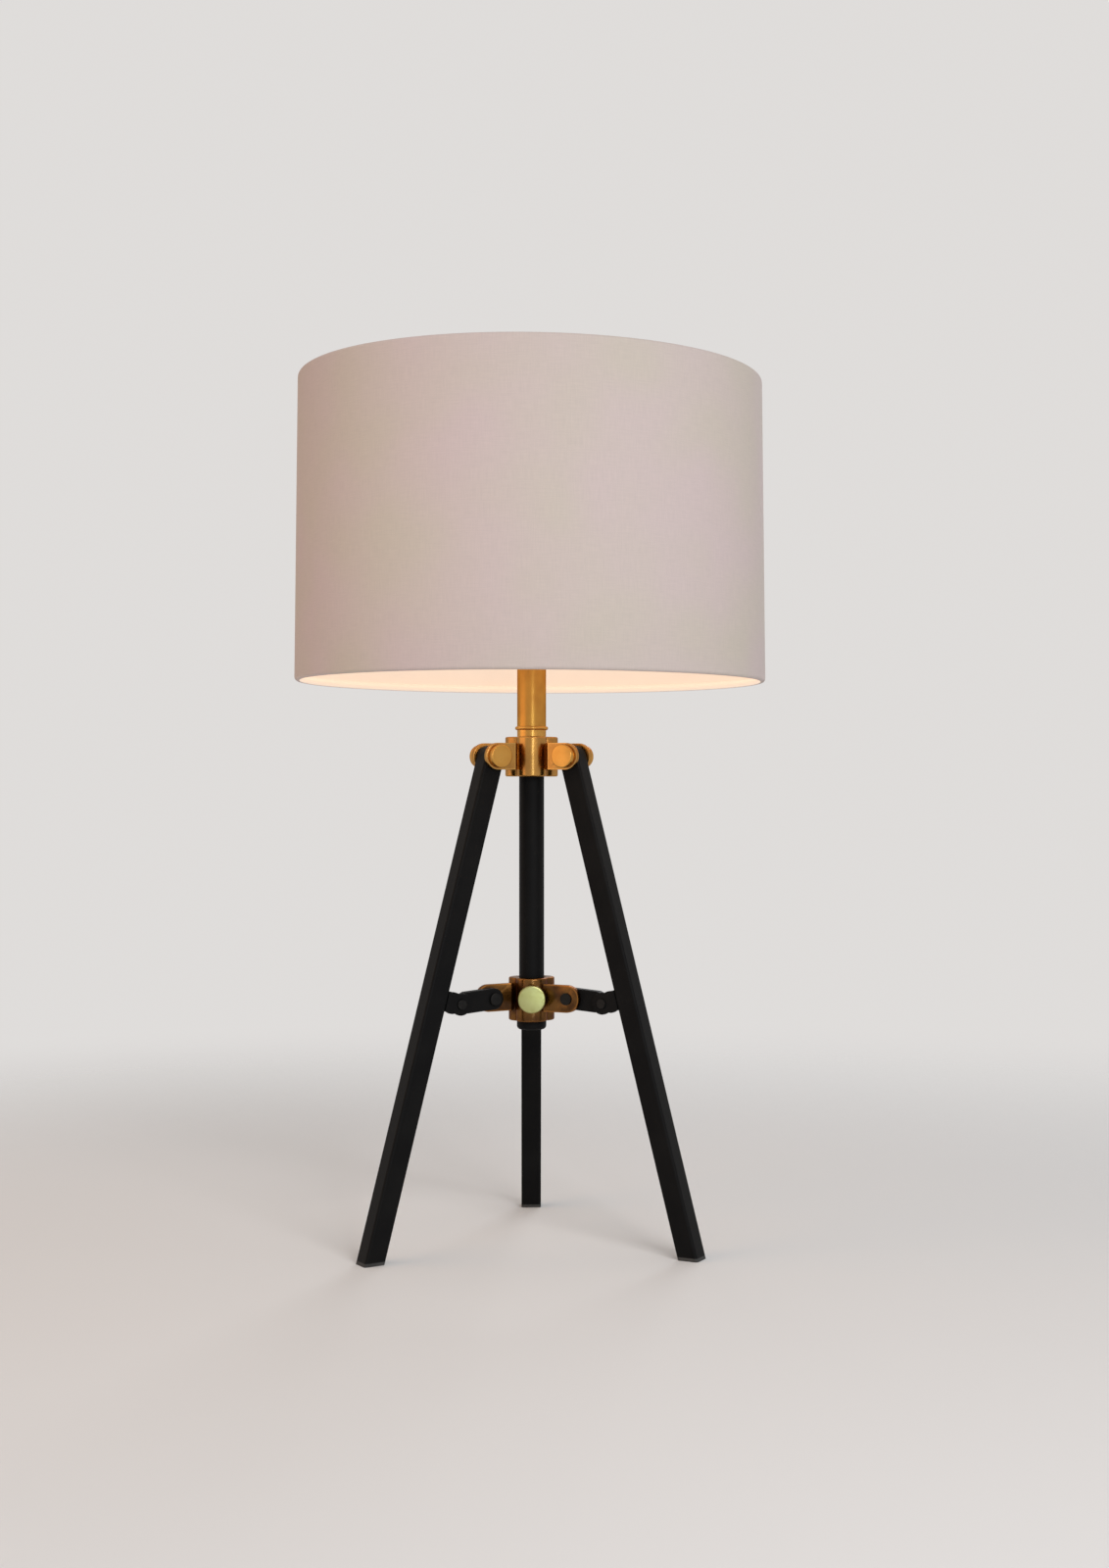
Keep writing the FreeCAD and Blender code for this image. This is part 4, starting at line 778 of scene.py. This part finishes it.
def face_outwards(shape):
    """Turns an open wall round if its largest face looks at the axis."""
    largest = max(shape.faces, key=lambda face: face.calc_area())
    middle = largest.calc_center_median()
    if largest.normal.dot(Vector((middle.x, middle.y, 0))) < 0:
        bmesh.ops.reverse_faces(shape, faces=shape.faces)


def smooth_except(piece, angle):
    """Smooth shading, with a crease where faces meet at more than the angle."""
    piece.data.polygons.foreach_set("use_smooth", [True] * len(piece.data.polygons))
    piece.data.set_sharp_from_angle(angle=angle)


def give_wall(piece, thickness, offset):
    """Makes a sheet thick, towards the axis with an offset of -1 and outwards with 1."""
    wall = piece.modifiers.new("thickness", "SOLIDIFY")
    wall.thickness = thickness
    wall.offset = offset


print("points nearer than %.3f mm are welded" % (WELD / MM))

# %% Shade fabric
FABRIC_THICKNESS = 0.7 * MM
SHADE_STEPS = 240
SHADE_CREASE = math.radians(60)
HEM_PAINTED_LIT_DEPTH = 3.5 * MM


def shade_sheet(shape):
    """The cloth, as one sheet from hem to hem."""
    spun(shape, shade_section, SHADE_STEPS)
    face_outwards(shape)


shade_skin = new_piece("shade_skin", shade_sheet)
shade_skin.data.materials.append(fabric)
shade_skin.data.materials.append(lining)
# the hem inside the rims is fabric, but gets the lining's glowing finish: painted light, as it
# is as brightly lit as the lining
for face in shade_skin.data.polygons:
    if wall_radius(face.center.z) - face.center.xy.length > HEM_PAINTED_LIT_DEPTH:
        face.material_index = 1
smooth_except(shade_skin, SHADE_CREASE)
give_wall(shade_skin, FABRIC_THICKNESS, -1)
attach(shade_skin, "shade")
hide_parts("shade_fabric")

# %% [markdown]
# ## Seam at the back
# The cloth goes once round the card, and its cut end lies over its beginning at the back: a
# strip as wide as a finger, glued flat, with its edge folded under.  A line drawn into the
# material would vanish at a low angle, so it is a narrow piece of the same section that lies
# on the cloth and follows the taper of the wall.

# %% Seam
SEAM_WIDTH = 11.0 * MM
SEAM_STEPS = 6
SEAM_THICKNESS = 0.8 * MM
SEAM_LIFT = 0.01 * MM
seam_heights = [skin_low.z + 2 * ROLL_RADIUS, (skin_low.z + skin_high.z) / 2,
                skin_high.z - 2 * ROLL_RADIUS]


def seam_strip(shape):
    """An upright line behind the lamp, swung round by the strip's width."""
    line = drawn_line(shape, [(0, wall_radius(z) + SEAM_LIFT, z) for z in seam_heights])
    bmesh.ops.spin(shape, geom=line, cent=(0, 0, 0), axis=(0, 0, 1),
                   angle=SEAM_WIDTH / foot_radius, steps=SEAM_STEPS, use_merge=False)
    bmesh.ops.recalc_face_normals(shape, faces=shape.faces)
    face_outwards(shape)


seam = new_piece("shade_seam", seam_strip)
seam.data.materials.append(fabric)
give_wall(seam, SEAM_THICKNESS, 1)
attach(seam, "shade")
print("seam %.0f mm wide, %d faces" % (SEAM_WIDTH / MM, len(seam.data.polygons)))

# %% [markdown]
# ## Card behind the fabric
# The stiff card is what keeps a drum shade round.  It is seen from below, where it throws the
# bulb's light back.  It is spun like the cloth, with a plain straight section between the
# rims, and a hair of air between the two keeps one from showing through the other.

# %% Card
CARD_GAP = 0.15 * MM
CARD_THICKNESS = 0.6 * MM
card_heights = [skin_low.z + ROLL_RADIUS, (skin_low.z + skin_high.z) / 2,
                skin_high.z - ROLL_RADIUS]
card_section = [(wall_radius(z) - FABRIC_THICKNESS - CARD_GAP, z) for z in card_heights]


def card_sheet(shape):
    """The card, as a plain wall between the rolled rims."""
    spun(shape, card_section, SHADE_STEPS)
    face_outwards(shape)


shade_card = new_piece("shade_card", card_sheet)
shade_card.data.materials.append(lining)
smooth_except(shade_card, SHADE_CREASE)
give_wall(shade_card, CARD_THICKNESS, -1)
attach(shade_card, "shade")
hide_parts("shade_backing")
print("card from %.4f to %.4f m" % (card_heights[0], card_heights[-1]))

# %% [markdown]
# ## Edges of the castings
# Computed solids have edges like knives; cast and stamped metal has not, and the thin bright
# line along a rounded edge tells the eye that it is metal.  A bevel in the material would only
# bend the light, and the outline would stay sharp.  So a copy of each such node is welded, its
# flat faces are joined again, and the sharp edges that are left are bevelled.

# %% Softened copies
FLAT = math.radians(0.6)
SHARP = math.radians(28)
EDGE_SEGMENTS = 2


def softened(name, width):
    """A copy of a node with its sharp edges rounded, which stands for the node."""
    def copy_and_round(shape):
        shape.from_mesh(nodes[name].data)
        bmesh.ops.remove_doubles(shape, verts=shape.verts, dist=WELD)
        bmesh.ops.dissolve_limit(shape, angle_limit=FLAT, verts=shape.verts,
                                 edges=shape.edges)
        sharp = [edge for edge in shape.edges
                 if edge.is_manifold and edge.calc_face_angle() > SHARP]
        bmesh.ops.bevel(shape, geom=sharp, offset=width, affect="EDGES",
                        segments=EDGE_SEGMENTS, profile=0.5, material=-1,
                        clamp_overlap=True)

    piece = new_piece(name + "_cast", copy_and_round)
    piece.data.materials.append(finish_of[name])
    smooth_except(piece, SHARP)
    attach(piece, nodes[name]["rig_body"])
    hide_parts(name)
    return piece


print("edges sharper than %.0f degrees are rounded" % math.degrees(SHARP))

# %% Castings and small metal
EDGE_WIDTHS = {
    0.5 * MM: ["upper_hub", "lower_hub"],
    0.3 * MM: [*on_legs("leg_bracket_%s"), "pole_end_cap", "neck_cap", "harp_saddle",
               "switch_key"],
    0.4 * MM: ["lock_knob"],
    0.25 * MM: ["brace_screws", *on_legs("bracket_screws_%s"), "harp_stud", "socket_cap",
                "socket_shell", "leg_bolts", "leg_bolt_caps"],
}
for width, names in EDGE_WIDTHS.items():
    for name in names:
        piece = softened(name, width)
        print(piece.name, len(piece.data.polygons), "faces")

# %% [markdown]
# ## Screw cap of the bulb
# The metal cap of a bulb is thin sheet rolled into a coarse round thread.  Rings stacked on
# each other would look like a thread from afar, but would not wind.  So the cap's section is
# spun with many rows, and every point of its wall then moves in by the depth of the thread at
# its own height and angle, which makes a true helix.

# %% Depth of the thread
THREAD_PITCH = 3.6 * MM
THREAD_DEPTH = 0.65 * MM
PLAIN_FOOT, PLAIN_TOP = 4.5 * MM, 5.0 * MM

cap_low, cap_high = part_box("bulb_cap")
thread_low, thread_high = cap_low.z + PLAIN_FOOT, cap_high.z - PLAIN_TOP


def thread_depth(point):
    """How far a point of the cap lies inside its widest radius."""
    turns = math.atan2(point.y, point.x) / (2 * math.pi)
    wave = 0.5 - 0.5 * math.cos(2 * math.pi * (point.z / THREAD_PITCH - turns))
    fade = min(1, max(0, (point.z - thread_low) / THREAD_PITCH),
               max(0, (thread_high - point.z) / THREAD_PITCH))
    return THREAD_DEPTH * wave * fade


print("thread of %.1f turns" % ((thread_high - thread_low) / THREAD_PITCH))

# %% Threaded cap
THREAD_ROWS = 36
TOP_ROUNDING = 0.4 * MM
CAP_STEPS = 48
CAP_CREASE = math.radians(50)
cap_radius = cap_high.x
CONTACT_SECTION = [(0, 0), (4.2 * MM, 0), (4.6 * MM, 1.4 * MM),
                   (cap_radius - 2.6 * MM, 3.0 * MM)]


def threaded_cap(shape):
    """The cap with its contact's cone below and its thread pressed into the wall."""
    section = [(radius, cap_low.z + up) for radius, up in CONTACT_SECTION]
    section += [(cap_radius, thread_low + (thread_high - thread_low) * row / THREAD_ROWS)
                for row in range(THREAD_ROWS + 1)]
    section += [(cap_radius, cap_high.z - TOP_ROUNDING),
                (cap_radius - TOP_ROUNDING, cap_high.z), (0, cap_high.z)]
    spun(shape, section, CAP_STEPS)
    for vert in shape.verts:
        if vert.co.xy.length > cap_radius - MM:
            vert.co.xy *= (cap_radius - thread_depth(vert.co)) / cap_radius


threaded = new_piece("bulb_screw_cap", threaded_cap)
threaded.data.materials.append(zinc)
smooth_except(threaded, CAP_CREASE)
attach(threaded, nodes["bulb_cap"]["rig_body"])
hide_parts("bulb_cap")
print("bulb cap:", len(threaded.data.polygons), "faces")
